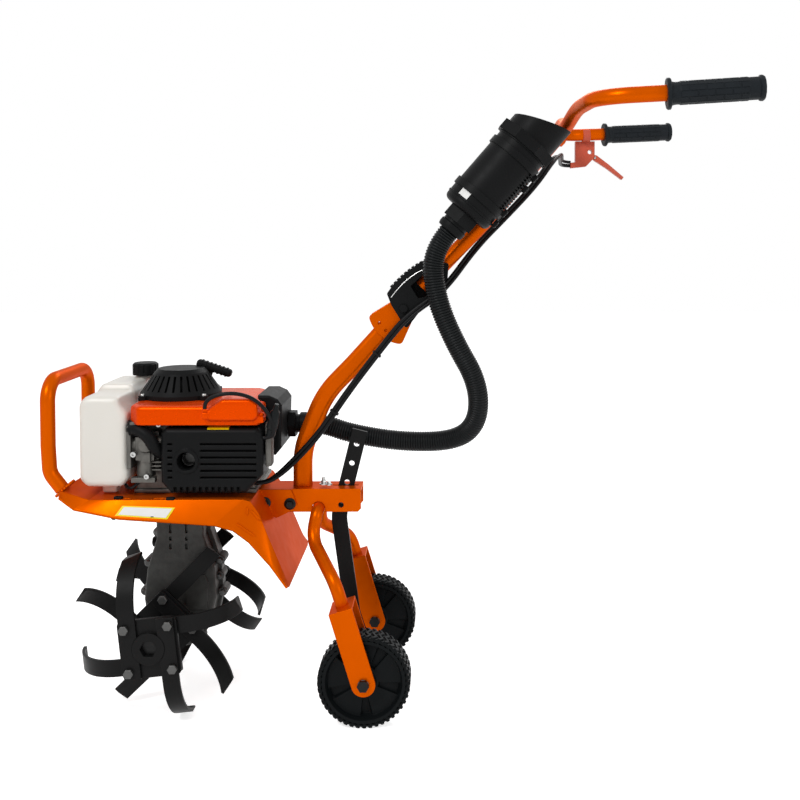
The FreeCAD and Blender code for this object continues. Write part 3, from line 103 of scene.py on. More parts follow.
def white_for_camera(tree, shown, otherwise):
    """Mix two shaders: the first for camera, glossy and transmission rays."""
    path = tree.nodes.new("ShaderNodeLightPath")
    first = tree.nodes.new("ShaderNodeMath")
    total = tree.nodes.new("ShaderNodeMath")
    first.operation = total.operation = "ADD"
    total.use_clamp = True
    mix = tree.nodes.new("ShaderNodeMixShader")
    tree.links.new(path.outputs["Is Camera Ray"], first.inputs[0])
    tree.links.new(path.outputs["Is Glossy Ray"], first.inputs[1])
    tree.links.new(first.outputs[0], total.inputs[0])
    tree.links.new(path.outputs["Is Transmission Ray"], total.inputs[1])
    tree.links.new(total.outputs[0], mix.inputs[0])
    tree.links.new(otherwise, mix.inputs[1])
    tree.links.new(shown, mix.inputs[2])
    return mix.outputs[0]


def make_world():
    """Even light on the machine, and white behind it."""
    bpy.context.scene.view_settings.view_transform = "Standard"
    world = bpy.data.worlds.new("studio")
    bpy.context.scene.world = world
    world.use_nodes = True
    tree = world.node_tree
    soft = tree.nodes["Background"]
    white = tree.nodes.new("ShaderNodeBackground")
    for background, strength in ((soft, SOFT_LIGHT), (white, 1.0)):
        background.inputs["Color"].default_value = (1, 1, 1, 1)
        background.inputs["Strength"].default_value = strength
    tree.links.new(white_for_camera(tree, white.outputs[0], soft.outputs[0]),
                   tree.nodes["World Output"].inputs["Surface"])


def make_floor():
    """A plain pale floor that keeps the machine's shadow."""
    reach = FLOOR_REACH
    corners = [(-reach, -reach, 0), (reach, -reach, 0), (reach, reach, 0), (-reach, reach, 0)]
    mesh = bpy.data.meshes.new("floor")
    mesh.from_pydata(corners, [], [(0, 1, 2, 3)])
    floor = bpy.data.objects.new("floor", mesh)
    bpy.context.collection.objects.link(floor)
    material = bpy.data.materials.new("floor")
    material.use_nodes = True
    tree = material.node_tree
    shader = tree.nodes["Principled BSDF"]
    shader.inputs["Base Color"].default_value = (0.9, 0.9, 0.9, 1)
    shader.inputs["Roughness"].default_value = 0.9
    glow = tree.nodes.new("ShaderNodeEmission")
    glow.inputs["Strength"].default_value = FLOOR_GLOW
    both = tree.nodes.new("ShaderNodeAddShader")
    tree.links.new(shader.outputs[0], both.inputs[0])
    tree.links.new(glow.outputs[0], both.inputs[1])
    tree.links.new(white_for_camera(tree, both.outputs[0], shader.outputs[0]),
                   tree.nodes["Material Output"].inputs["Surface"])
    mesh.materials.append(material)


# ------------------------------------------------------------------ materials

class Look:
    """A procedural material under construction: a Principled shader and its nodes."""

    def __init__(self, name, color, roughness, metallic=0.0):
        self.material = bpy.data.materials.new(name)
        self.material.use_nodes = True
        self.tree = self.material.node_tree
        self.shader = self.tree.nodes["Principled BSDF"]
        self.color, self.roughness = color, roughness
        self.normal = None
        self.set("Base Color", (*color, 1))
        self.set("Roughness", roughness)
        self.set("Metallic", metallic)

    def set(self, socket, value):
        self.shader.inputs[socket].default_value = value

    def node(self, kind, **settings):
        made = self.tree.nodes.new("ShaderNode" + kind)
        for key, value in settings.items():
            setattr(made, key, value)
        return made

    def link(self, source, target):
        self.tree.links.new(source, target)

    def noise(self, scale, detail, stretch=(1, 1, 1)):
        """Noise in the object's own coordinates, in cells per metre."""
        mapping = self.node("Mapping")
        mapping.inputs["Scale"].default_value = stretch
        self.link(self.node("TexCoord").outputs["Object"], mapping.inputs["Vector"])
        made = self.node("TexNoise")
        made.inputs["Scale"].default_value = scale
        made.inputs["Detail"].default_value = detail
        self.link(mapping.outputs[0], made.inputs["Vector"])
        return made.outputs["Fac"]

    def soften(self, radius):
        """Edges rounded in the shading alone."""
        made = self.node("Bevel", samples=6)
        made.inputs["Radius"].default_value = radius * MM
        self.normal = made.outputs[0]

    def patches(self, noise, start, end, weight, factor):
        """A darker or paler shade of the colour, coming in between two levels of a noise."""
        ramp = self.node("ValToRGB")
        for element, position, level in zip(ramp.color_ramp.elements, (start, end), (0, weight)):
            element.position = position
            element.color = (level, level, level, 1)
        self.link(noise, ramp.inputs[0])
        mix = self.node("Mix", data_type="RGBA")
        mix.inputs[6].default_value = (*self.color, 1)
        mix.inputs[7].default_value = (*(min(1.0, c * factor) for c in self.color), 1)
        self.link(ramp.outputs[0], mix.inputs[0])
        self.link(mix.outputs[2], self.shader.inputs["Base Color"])

    def vary_roughness(self, noise, less, more):
        made = self.node("MapRange")
        made.inputs["To Min"].default_value = self.roughness - less
        made.inputs["To Max"].default_value = self.roughness + more
        self.link(noise, made.inputs["Value"])
        self.link(made.outputs[0], self.shader.inputs["Roughness"])

    def bump(self, noise, strength, depth):
        made = self.node("Bump")
        made.inputs["Strength"].default_value = strength
        made.inputs["Distance"].default_value = depth * MM
        self.link(noise, made.inputs["Height"])
        if self.normal:
            self.link(self.normal, made.inputs["Normal"])
        self.link(made.outputs[0], self.shader.inputs["Normal"])


def paint(name, color, roughness, gloss, peel=0.05, metallic=0.0, edge=1.5):
    """Powder coat: orange-peel skin, faint colour drift and dust in the roughness."""
    look = Look(name, color, roughness, metallic)
    look.set("Specular IOR Level", gloss)
    if metallic:
        look.set("Specular Tint", (1.0, 0.38, 0.05, 1))
    if edge:
        look.soften(edge)
    look.patches(look.noise(14, 4), 0.4, 0.75, 0.35, 0.8)
    look.vary_roughness(look.noise(60, 5), 0.06, 0.12)
    look.bump(look.noise(900, 2), peel, 0.4)
    return look.material


def plastic(name, color, roughness=0.45, grain=1400, depth=0.12, dust=0.25, edge=1.2):
    """Moulded plastic: spark-eroded grain, a slight dusty bloom."""
    look = Look(name, color, roughness)
    look.set("Specular IOR Level", 0.07)
    look.soften(edge)
    look.patches(look.noise(26, 6), 0.45, 0.8, dust, 2.2)
    look.vary_roughness(look.noise(90, 4), 0.07, 0.1)
    look.bump(look.noise(grain, 2), depth, 0.3)
    return look.material


def cast_metal(name, color, roughness, metallic):
    """Sand-cast alloy: coarse skin with darker hollows."""
    look = Look(name, color, roughness, metallic)
    look.soften(1.8)
    look.patches(look.noise(70, 6), 0.4, 0.7, 0.55, 0.45)
    look.vary_roughness(look.noise(140, 4), 0.1, 0.2)
    look.bump(look.noise(420, 5), 0.35, 0.6)
    return look.material


def steel(name, color, roughness=0.3):
    """Zinc-plated steel: fine drawn lines and patches."""
    look = Look(name, color, roughness, 1.0)
    look.patches(look.noise(110, 4), 0.4, 0.8, 0.4, 0.6)
    look.vary_roughness(look.noise(40, 3, (1, 1, 14)), 0.08, 0.15)
    look.bump(look.noise(700, 2), 0.08, 0.3)
    return look.material


def rubber(name, color, roughness):
    """Soft rubber: a matt, slightly dusty skin."""
    look = Look(name, color, roughness)
    look.set("Specular IOR Level", 0.12)
    look.patches(look.noise(34, 5), 0.45, 0.8, 0.4, 1.9)
    look.vary_roughness(look.noise(120, 3), 0.08, 0.12)
    look.bump(look.noise(1100, 3), 0.1, 0.3)
    return look.material


def milky(name, color):
    """Blow-moulded polyethylene: light goes in a little way."""
    look = Look(name, color, 0.34)
    look.set("Subsurface Weight", 0.35)
    look.set("Subsurface Radius", (0.012, 0.011, 0.01))
    look.patches(look.noise(9, 3), 0.45, 0.8, 0.3, 0.9)
    look.vary_roughness(look.noise(50, 3), 0.06, 0.08)
    look.bump(look.noise(240, 3), 0.05, 0.5)
    return look.material


BLACK = (0.006, 0.0063, 0.0066)
LOOKS = {
    "orange_paint": paint("orange_paint", (0.61, 0.087, 0.0), 0.3, 0.03, metallic=0.45),
    "orange_shroud": paint("orange_shroud", (0.76, 0.058, 0.0), 0.24, 0.14, 0.02, 0.25, edge=0),
    "black_paint": paint("black_paint", (0.006, 0.006, 0.006), 0.4, 0.1, 0.12),
    "black_plastic": plastic("black_plastic", BLACK),
    "tank_plastic": milky("tank_plastic", (0.77, 0.745, 0.69)),
    "grey_casting": cast_metal("grey_casting", (0.04, 0.04, 0.037), 0.5, 0.35),
    "bare_metal": cast_metal("bare_metal", (0.12, 0.115, 0.105), 0.45, 0.8),
    "steel": steel("steel", (0.5, 0.5, 0.49)),
    "wheel_plastic": plastic("wheel_plastic", (0.004, 0.005, 0.0055), 0.42, 900),
    "grip_rubber": rubber("grip_rubber", (0.008, 0.0105, 0.013), 0.5),
    "hose_rubber": rubber("hose_rubber", (0.005, 0.006, 0.0065), 0.38),
    "cable_sheath": rubber("cable_sheath", (0.005, 0.005, 0.0055), 0.38),
    "red_plastic": paint("red_plastic", (0.56, 0.09, 0.045), 0.38, 0.3, 0.02),
    # black zinc on the bolts; on the tine shaft the same dark colour is painted shade in the
    # hub's hex hole
    "black_zinc_and_painted_shade": steel("black_zinc_and_painted_shade", (0.02, 0.02, 0.02), 0.38),
    "dull_zinc": steel("dull_zinc", (0.1, 0.1, 0.098), 0.45),
    "cover_plastic": plastic("cover_plastic", BLACK, 0.4, 1000, 0.1, 0.2, edge=4),
    "yellow_film": paint("yellow_film", (0.88, 0.72, 0.0), 0.35, 0.3, 0.01),
    "white_film": paint("white_film", (0.8, 0.8, 0.78), 0.4, 0.3, 0.01),
}
# CAD nodes that look unlike the rest of their slot. The tine shaft's dark black zinc is painted
# shade: it darkens the shaft's end in the hub's hex hole
OWN_LOOKS = {"exhaust_cover": "cover_plastic", "tine_shaft": "black_zinc_and_painted_shade",
             "axle_bolts": "black_zinc_and_painted_shade"}


def dress_nodes():
    """Give every CAD node the finish of its material slot."""
    for name, slot_name in SLOTS.items():
        for slot in frame["nodes"][name].material_slots:
            slot.material = LOOKS[OWN_LOOKS.get(name, slot_name)]


# ------------------------------------------------------------------ making pieces

X_WAY, Y_WAY, Z_WAY = Vector((1, 0, 0)), Vector((0, 1, 0)), Vector((0, 0, 1))


def mm(x, y, z):
    return Vector((x, y, z)) * MM


def finish(name, made, look, body, sharp=35):
    """Turn a bmesh into a piece that rides on a body, smooth across edges up to an angle."""
    bmesh.ops.remove_doubles(made, verts=made.verts, dist=1e-6)
    bmesh.ops.recalc_face_normals(made, faces=made.faces)
    mesh = bpy.data.meshes.new(name)
    made.to_mesh(mesh)
    made.free()
    for face in mesh.polygons:
        face.use_smooth = True
    mesh.set_sharp_from_angle(angle=math.radians(sharp))
    mesh.materials.append(LOOKS[look])
    piece = bpy.data.objects.new(name, mesh)
    bpy.context.collection.objects.link(piece)
    if body:
        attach(piece, body)
    return piece


def rounded(name, node, body, voxel, passes):
    """A CAD node's skin with its edges rounded off, as moulding leaves them."""
    piece = bpy.data.objects.new(name, frame["nodes"][node].data.copy())
    bpy.context.collection.objects.link(piece)
    grid = piece.modifiers.new("grid", "REMESH")
    grid.mode = "VOXEL"
    grid.voxel_size = voxel * MM
    even = piece.modifiers.new("even", "SMOOTH")
    even.factor = 0.5
    even.iterations = passes
    shaped = piece.evaluated_get(bpy.context.evaluated_depsgraph_get())
    made = bmesh.new()
    made.from_mesh(bpy.data.meshes.new_from_object(shaped))
    bpy.data.objects.remove(piece)
    piece = finish(name, made, SLOTS[node], body, sharp=60)
    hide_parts(node)


def square_to(direction):
    """Two directions square to one another and to a direction."""
    helper = Z_WAY if abs(direction.z) < 0.9 else X_WAY
    side = direction.cross(helper).normalized()
    return side, direction.cross(side)


def bridge(made, rings, closed=False, lids=False):
    """Skin rings of equally many points with quads; closed joins the last to the first."""
    loops = [[made.verts.new(spot) for spot in ring] for ring in rings]
    pairs = list(zip(loops, loops[1:]))
    if closed:
        pairs.append((loops[-1], loops[0]))
    for low, high in pairs:
        count = len(low)
        for i in range(count):
            j = (i + 1) % count
            made.faces.new((low[i], low[j], high[j], high[i]))
    if lids:
        made.faces.new(loops[0])
        made.faces.new(loops[-1])
    return loops


def bridge_rows(made, rows):
    """Skin rows of equally many points with quads, left open at their ends."""
    verts = [[made.verts.new(spot) for spot in row] for row in rows]
    for low, high in zip(verts, verts[1:]):
        for j in range(len(low) - 1):
            made.faces.new((low[j], low[j + 1], high[j + 1], high[j]))


def lathe(made, spot, axis, profile, sides=24):
    """Turn (radius, height) points round an axis, with flat lids where they end."""
    axis = Vector(axis).normalized()
    side, up = square_to(axis)
    turns = [2 * math.pi * i / sides for i in range(sides)]
    ways = [side * math.cos(turn) + up * math.sin(turn) for turn in turns]
    bridge(made, [[spot + (axis * height + way * radius) * MM for way in ways]
                  for radius, height in profile], lids=True)


def bolt(made, spot, axis, across, height, washer=True):
    """A hexagonal head with a chamfer, on a washer."""
    axis = Vector(axis).normalized()
    if washer:
        lathe(made, spot, axis, [(across * 0.86, 0), (across * 0.86, 1.2), (across * 0.8, 1.6)])
        spot = spot + axis * 1.6 * MM
    radius = across / math.sqrt(3)
    lathe(made, spot, axis, [(radius, 0), (radius, height * 0.82), (radius * 0.86, height)], 6)


def socket_bolt(made, spot, axis, radius, height):
    """A round head with a hollow for a key."""
    lathe(made, spot, axis, [
        (radius, 0), (radius, height * 0.8), (radius * 0.88, height), (radius * 0.5, height),
        (radius * 0.5, height * 0.4)])


def slab(made, low, high, bevel=1):
    """A box between two corners, with bevelled edges."""
    low, high = Vector(low), Vector(high)
    grown = bmesh.ops.create_cube(made, size=1)["verts"]
    for vert in grown:
        vert.co = Vector([(low[i] + high[i]) / 2 + vert.co[i] * (high[i] - low[i])
                          for i in range(3)])
    edges = {edge for vert in grown for edge in vert.link_edges}
    soften_edges(made, list(edges), bevel)


def soften_edges(made, edges, bevel):
    bmesh.ops.bevel(made, geom=edges, offset=bevel * MM, segments=2, affect="EDGES",
                    profile=0.6)


def spline_path(points, steps):
    """The line of a NURBS spline through control points, evenly divided, and its length."""
    curve = bpy.data.curves.new("route", "CURVE")
    curve.dimensions = "3D"
    curve.resolution_u = 16
    spline = curve.splines.new("NURBS")
    spline.points.add(len(points) - 1)
    for point, spot in zip(spline.points, points):
        point.co = (*spot, 1)
    spline.order_u = 3
    spline.use_endpoint_u = True
    holder = bpy.data.objects.new("route", curve)
    bpy.context.collection.objects.link(holder)
    bpy.context.view_layer.update()
    mesh = bpy.data.meshes.new_from_object(holder)
    spots = [vert.co.copy() for vert in mesh.vertices]
    bpy.data.objects.remove(holder)
    bpy.data.meshes.remove(mesh)
    lengths = [0.0]
    for a, b in zip(spots, spots[1:]):
        lengths.append(lengths[-1] + (b - a).length)
    even, k = [], 0
    for n in range(steps + 1):
        target = lengths[-1] * n / steps
        while k < len(lengths) - 2 and lengths[k + 1] < target:
            k += 1
        part = (target - lengths[k]) / (lengths[k + 1] - lengths[k])
        even.append(spots[k].lerp(spots[k + 1], min(1.0, part)))
    return even, lengths[-1]


def sweep(made, path, radius_at, sides=16):
    """A round skin along a path; the frame turns with it and doesn't twist."""
    side = square_to((path[1] - path[0]).normalized())[0]
    turns = [2 * math.pi * k / sides for k in range(sides)]
    rings = []
    for i, spot in enumerate(path):
        direction = (path[min(i + 1, len(path) - 1)] - path[max(i - 1, 0)]).normalized()
        side = (side - direction * side.dot(direction)).normalized()
        up = direction.cross(side)
        radius = radius_at(i) * MM
        rings.append([spot + (side * math.cos(turn) + up * math.sin(turn)) * radius
                      for turn in turns])
    bridge(made, rings, lids=True)


def surface_of(node):
    return BVHTree.FromObject(frame["nodes"][node], bpy.context.evaluated_depsgraph_get())


def bead_on(made, node, spots, radius):
    """A pressed rib that follows a node's left face between points (x, z)."""
    surface, steps = surface_of(node), 8
    path = []
    for (x0, z0), (x1, z1) in zip(spots, spots[1:]):
        for n in range(steps):
            start = mm(x0 + (x1 - x0) * n / steps, -900, z0 + (z1 - z0) * n / steps)
            hit = surface.ray_cast(start, Y_WAY)[0]
            if hit:
                path.append(hit - Y_WAY * radius * 0.2 * MM)
    ends = (0, len(path) - 1)
    sweep(made, path, lambda i: radius * (0.35 if i in ends else 1.0), 12)


def sticker(name, node, corners, look, lift):
    """A thin film between four corners (x, z), laid on a node's left face."""
    surface, across, down = surface_of(node), 10, 4
    a, b, c, d = [mm(x, -1000, z) for x, z in corners]
    rows = []
    for i in range(down + 1):
        row = []
        for j in range(across + 1):
            u, v = j / across, i / down
            start = a.lerp(b, u).lerp(d.lerp(c, u), v)
            hit, normal = surface.ray_cast(start, Y_WAY)[:2]
            if normal.y > 0:
                normal = -normal
            row.append(hit + normal * lift * MM)
        rows.append(row)
    made = bmesh.new()
    bridge_rows(made, rows)
    finish(name, made, look, "chassis")


# ------------------------------------------------------------------ wheels and rotor

WHEEL_X, WHEEL_RADIUS, WHEEL_TRACK = -24, 70, 242
LUGS = 45
LUG_PHASES = (0.0, 0.12, 0.52, 0.64)         # where a lug rises and falls, in its pitch
LUG_DEPTH, ZIGZAG = 2.4, 0.55
SECTORS = 5
SECTOR_TURN = 58             # degrees, the first hollow between two sectors
HOLLOW_HALF, HOLLOW_DEPTH = 10, 5            # degrees each way, and mm


def wheel(side, sign):
    """A moulded wheel: zigzag lugs, a disc with raised sectors and a long hub."""
    tread, disc, hub = 18, 9, 22
    # radius, distance across, whether lugs are cut there, whether hollows are
    rows = [(5.1, -hub, 0, 0), (13, -hub, 0, 0), (15, -hub + 2, 0, 0), (19, -disc - 3, 0, 0),
            (22, -disc - 2, 0, 0), (24, -disc - 2, 0, 1), (52, -disc, 0, 1),
            (54.5, -disc, 0, 0), (56, -tread + 4, 0, 0), (58, -tread, 0, 0),
            (63.5, -tread, 0, 0), (65, -tread, 1, 0), (69, -tread, 1, 0),
            (70, -tread + 1.5, 1, 0), (70, -tread / 2, 1, 0), (70, 0, 1, 0)]
    rows += [(r, -y, lug, hollow) for r, y, lug, hollow in reversed(rows[:-1])]
    middle = mm(WHEEL_X, WHEEL_TRACK / 2 * sign, WHEEL_RADIUS)
    step = 360 / SECTORS
    rings = []
    for radius, y, lug, hollow in rows:
        zigzag = ZIGZAG * abs((abs(y) / tread * 2) % 2 - 1) if lug else 0
        ring = []
        for n in range(LUGS):
            for phase, low in zip(LUG_PHASES, (1, 0, 0, 1)):
                turn = 360 * (n + phase + zigzag) / LUGS
                r, across = radius, y
                if lug and low:
                    r -= LUG_DEPTH
                beside = abs((turn - SECTOR_TURN + step / 2) % step - step / 2)
                if hollow and beside < HOLLOW_HALF:
                    across -= math.copysign(HOLLOW_DEPTH, y)
                angle = math.radians(turn)
                ring.append(middle + mm(r * math.cos(angle), across, r * math.sin(angle)))
        rings.append(ring)
    made = bmesh.new()
    bridge(made, rings, closed=True)
    piece = finish("moulded_wheel_" + side, made, "wheel_plastic", "wheel_" + side, sharp=28)
    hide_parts("wheel_" + side)


def axle_hardware():
    """Washers between the fork's cheeks and the bolt's head and nut."""
    made = bmesh.new()
    for sign in (-1, 1):
        for way in (-1, 1):
            spot = mm(WHEEL_X, WHEEL_TRACK / 2 * sign + way * 26, WHEEL_RADIUS)
            lathe(made, spot, (0, way, 0), [(8.6, 0), (8.6, 1), (8, 1.4), (5.3, 1.4)])
    finish("axle_washers", made, "dull_zinc", "wheel_frame")


ROTOR_X, ROTOR_Z = -341, 127
ROTOR = mm(ROTOR_X, 0, ROTOR_Z)
HUB_ANGLES = {("outer", -1): 6, ("outer", 1): 64, ("inner", -1): 45, ("inner", 1): 45}
PLATE_Y = {"outer": 144, "inner": 67}
PLATE_REACH = 7.5            # from the middle of a plate to the outside of its straps
BOLT_PITCH = 65
HUB_TUBE_RADIUS = 14.8
BEAD_RADIUS, BEAD_WAVES = 3.2, 16


def rotor_hardware():
    """Four bolts through each hub plate and its straps, with nuts behind."""
    made = bmesh.new()
    half = BOLT_PITCH / 2
    for (name, sign), turn in HUB_ANGLES.items():
        angle = math.radians(-turn)
        for x, z in ((half, half), (-half, half), (-half, -half), (half, -half)):
            spot = ROTOR + mm(x * math.cos(angle) + z * math.sin(angle), PLATE_Y[name] * sign,
                              z * math.cos(angle) - x * math.sin(angle))
            for way in (sign, -sign):
                face = spot + Y_WAY * way * PLATE_REACH * MM
                bolt(made, face, (0, way, 0), 13, 5.5, washer=False)
                if way != sign:
                    lathe(made, face, (0, way, 0), [(4.8, 0), (4.8, 8.5), (4, 9.5)], 12)
    finish("tine_bolts", made, "dull_zinc", "tine_rotor")


def rotor_welds():
    """Beads where the hub tubes meet their plates."""
    made = bmesh.new()
    turns = [math.pi * k / 6 for k in range(7)]
    for sign in (-1, 1):
        for y, way in ((70, 1), (141, -1)):
            bead = [(16 + BEAD_RADIUS * math.cos(a), way * BEAD_RADIUS * math.sin(a))
                    for a in turns]
            rings = []
            for n in range(48):
                angle = 2 * math.pi * n / 48
                swell = 1 + 0.12 * math.sin(angle * BEAD_WAVES)
                ring = []
                for r, dy in bead:
                    reach = HUB_TUBE_RADIUS + (r - HUB_TUBE_RADIUS) * swell
                    ring.append(ROTOR + mm(reach * math.cos(angle), (y + dy * swell) * sign,
                                           reach * math.sin(angle)))
                rings.append(ring)
            bridge(made, rings, closed=True)
    finish("hub_weld_beads", made, "black_paint", "tine_rotor")


# ------------------------------------------------------------------ gearbox and deck

GEARBOX_FRONT, GEARBOX_REAR = -362, -287


def gearbox_hardware():
    """The flange's bolts, the oil plug and the shaft's seals."""
    front, rear, x, z = GEARBOX_FRONT, GEARBOX_REAR, ROTOR_X, ROTOR_Z
    lugs = [(front - 4, z + 133), (front - 19, z + 84), (front - 25, z + 37), (x - 32, z - 44),
            (x + 40, z - 42), (x + 79, z + 36), (x + 74, z + 62), (rear + 22, z + 88)]
    made = bmesh.new()
    for lug_x, lug_z in lugs:
        for sign in (-1, 1):
            bolt(made, mm(lug_x, 13 * sign, lug_z), (0, sign, 0), 8, 5)
    finish("gearbox_bolts", made, "dull_zinc", "chassis")

    plug = bmesh.new()
    bolt(plug, mm(-363, -12, 245), (-1, 0, 0), 15, 9)
    finish("oil_plug", plug, "black_plastic", "chassis")

    seals = bmesh.new()
    for sign in (-1, 1):
        lathe(seals, mm(x, 43 * sign, z), (0, sign, 0), [
            (24.5, 0), (24.5, 1.5), (22.5, 2.2), (16.5, 1), (13.5, 1.8), (12.8, 1.8)], 40)
    finish("shaft_seals", seals, "hose_rubber", "chassis")


def deck_hardware():
    """Bolts that hold the engine, the bracket and the front guard, and the rubber plugs."""
    made = bmesh.new()
    for x, z in ((-190, 311.5), (-150, 310)):
        for sign in (-1, 1):
            bolt(made, mm(x, 28.3 * sign, z), (0, sign, 0), 11, 6)
    for x in (-396, -304):
        for y in (-44, 44):
            bolt(made, mm(x, y, 333), (0, 0, -1), 10, 6)
    for x in (-404, -345):
        bolt(made, mm(x, -108, 312), (0, -0.9, -0.5), 7, 3, washer=False)
    finish("deck_bolts", made, "black_zinc_and_painted_shade", "chassis")

    plugs = bmesh.new()
    for x, y in ((-402, -92), (-321, -97)):
        slab(plugs, mm(x - 6.5, y - 4, 335), mm(x + 6.5, y + 4, 339.6), 1.6)
    finish("deck_plugs", plugs, "black_plastic", "chassis")

    pins = bmesh.new()
    bolt(pins, mm(-98, -12, 337.5), (0, 0, 1), 8, 5)
    lathe(pins, mm(-98, -12, 343), (0, 0, 1), [(2.8, 0), (2.8, 5), (2.2, 6)], 12)
    bolt(pins, mm(-89, -16, 337.5), (0, 0, 1), 6, 3.5)
    finish("bracket_pins", pins, "steel", "chassis")


def deck_forming():
    """Short ribs pressed into the deck, and the weld beads of the guard's feet."""
    ribs = bmesh.new()
    for spots in ([(-203, 325), (-203, 312)], [(-199, 322), (-180, 301)],
                  [(-218, 303), (-186, 280)]):
        bead_on(ribs, "deck", spots, 1.8)
    finish("deck_ribs", ribs, "orange_paint", "chassis", sharp=60)

    welds = bmesh.new()
    for sign in (-1, 1):
        for n in range(24):
            angle = 2 * math.pi * n / 24
            spot = mm(-486 + 12.5 * math.cos(angle), 85 * sign + 11.5 * math.sin(angle),
                      350 + 11.5 * math.cos(angle))
            for vert in bmesh.ops.create_icosphere(welds, subdivisions=1,
                                                   radius=2.6 * MM)["verts"]:
                vert.co += spot
    finish("guard_weld_beads", welds, "orange_paint", "chassis", sharp=60)


def deck_label():
    """A blank sticker with a yellow border on the near skirt."""
    sticker("deck_label_border", "deck",
            [(-392, 328), (-312, 325.5), (-322, 309.5), (-401, 315)], "yellow_film", 0.5)
    sticker("deck_label_field", "deck",
            [(-389, 326.3), (-316, 324), (-324.5, 311.5), (-396, 316.5)], "white_film", 0.9)


# ------------------------------------------------------------------ engine

STARTER_X, STARTER_FOOT = -329, 487


def engine_hardware():
    """Screws, the starter's pulley and the exhaust outlet."""
    screws = bmesh.new()
    for x, z, radius in ((-338, 451, 4.2), (-377, 405, 4.6), (-357, 371, 4.2)):
        socket_bolt(screws, mm(x, -94, z), (0, -1, 0), radius, 5)
    for degrees in (45, 135, 225, 315):
        angle = math.radians(degrees)
        spot = mm(STARTER_X + 68 * math.cos(angle), 68 * math.sin(angle), STARTER_FOOT)
        socket_bolt(screws, spot, (0, 0, 1), 3.4, 3)
    finish("engine_screws", screws, "steel", "chassis")

    pulley = bmesh.new()
    lathe(pulley, mm(STARTER_X, 0, STARTER_FOOT), (0, 0, 1), [
        (52, 0), (55, 1), (55, 6), (46, 8), (44.5, 16), (36, 28), (36, 33), (20, 34)], 48)
    finish("starter_pulley", pulley, "black_plastic", "chassis")

    outlet = bmesh.new()
    lathe(outlet, mm(-295.5, -68, 395.6), (0, -1, 0), [
        (11.5, 0), (11.5, 16), (10.5, 17), (9.5, 16), (9, 2)], 32)
    finish("outlet_pipe", outlet, "dull_zinc", "chassis")


def carburettor_details():
    """Castings round the carburettor, the intake's elbow and the fuel line."""
    carb = bmesh.new()
    slab(carb, mm(-383, -95, 449), mm(-340, -84, 454))
    slab(carb, mm(-366, -96, 392), mm(-352, -90, 408))
    slab(carb, mm(-383, -92, 360), mm(-346, -80, 368))
    for z in (378, 384, 390):
        slab(carb, mm(-352, -88, z), mm(-337, -74, z + 2), 0.5)
    finish("carburettor_castings", carb, "bare_metal", "chassis")

    elbow = bmesh.new()
    path, _ = spline_path([mm(-385, -84, 442), mm(-372, -92, 444), mm(-352, -98, 432),
                           mm(-346, -94, 414), mm(-338, -82, 404)], 24)
    sweep(elbow, path, lambda i: 9.4 + 0.7 * (i % 2), 20)
    lathe(elbow, mm(-386, -84, 442), (1, 0.1, 0.1), [(13.5, 0), (13.5, 7), (12.5, 8)])
    finish("intake_elbow", elbow, "black_plastic", "chassis")

    fuel = bmesh.new()
    path, _ = spline_path([mm(-398, -70, 352), mm(-392, -80, 348), mm(-378, -86, 352),
                           mm(-368, -84, 366)], 16)
    sweep(fuel, path, lambda i: 2.6, 12)
    finish("fuel_line", fuel, "cable_sheath", "chassis")


def crankcase():
    """Fins, a round cover and a flange on the plain engine block."""
    low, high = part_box("engine_block")
    fins = bmesh.new()
    for n in range(11):
        foot = low.z + (18 + n * 7.8) * MM
        slab(fins, (low.x + 98 * MM, high.y - 1 * MM, foot),
             (high.x - 4 * MM, high.y + 7 * MM, foot + 2.6 * MM), 0.6)
    finish("crankcase_fins", fins, "bare_metal", "chassis")

    cover = bmesh.new()
    middle = Vector((low.x + 48 * MM, high.y, (low.z + high.z) / 2))
    lathe(cover, middle, (0, 1, 0), [
        (42, -1), (42, 4), (40, 5.5), (28, 6.5), (26, 4.5), (12, 4.5), (11, 6.5)], 56)
    slab(cover, (low.x + 3 * MM, high.y - 1 * MM, low.z + 8 * MM),
         (low.x + 94 * MM, high.y + 2.5 * MM, high.z - 4 * MM), 1.5)
    finish("crankcase_cover", cover, "bare_metal", "chassis")

    screws = bmesh.new()
    for n in range(6):
        angle = math.pi * (2 * n + 1) / 6
        spot = middle + mm(34.5 * math.cos(angle), 5.8, 34.5 * math.sin(angle))
        bolt(screws, spot, (0, 1, 0), 7, 3, washer=False)
    finish("crankcase_screws", screws, "steel", "chassis")

    flange = bmesh.new()
    slab(flange, low + mm(-4, -4, 0.2), (high.x + 4 * MM, high.y + 4 * MM, low.z + 7 * MM), 2)
    finish("crankcase_flange", flange, "bare_metal", "chassis")


def engine_stickers():
    """Two blank yellow films, over the exhaust cover's upper edge and on the shroud's top."""
    for name, xs, line in (
            ("cover_sticker", (-264, -253, -242, -231),
             ((-78, 446.4), (-92, 446.4), (-96, 445.9), (-99.6, 443.6))),
            ("shroud_sticker", (-243, -232, -222, -212), ((-62, 481), (-40, 481), (-18, 481)))):
        made = bmesh.new()
        bridge_rows(made, [[mm(x, y, z) for x in xs] for y, z in line])
        finish(name, made, "yellow_film", "chassis")


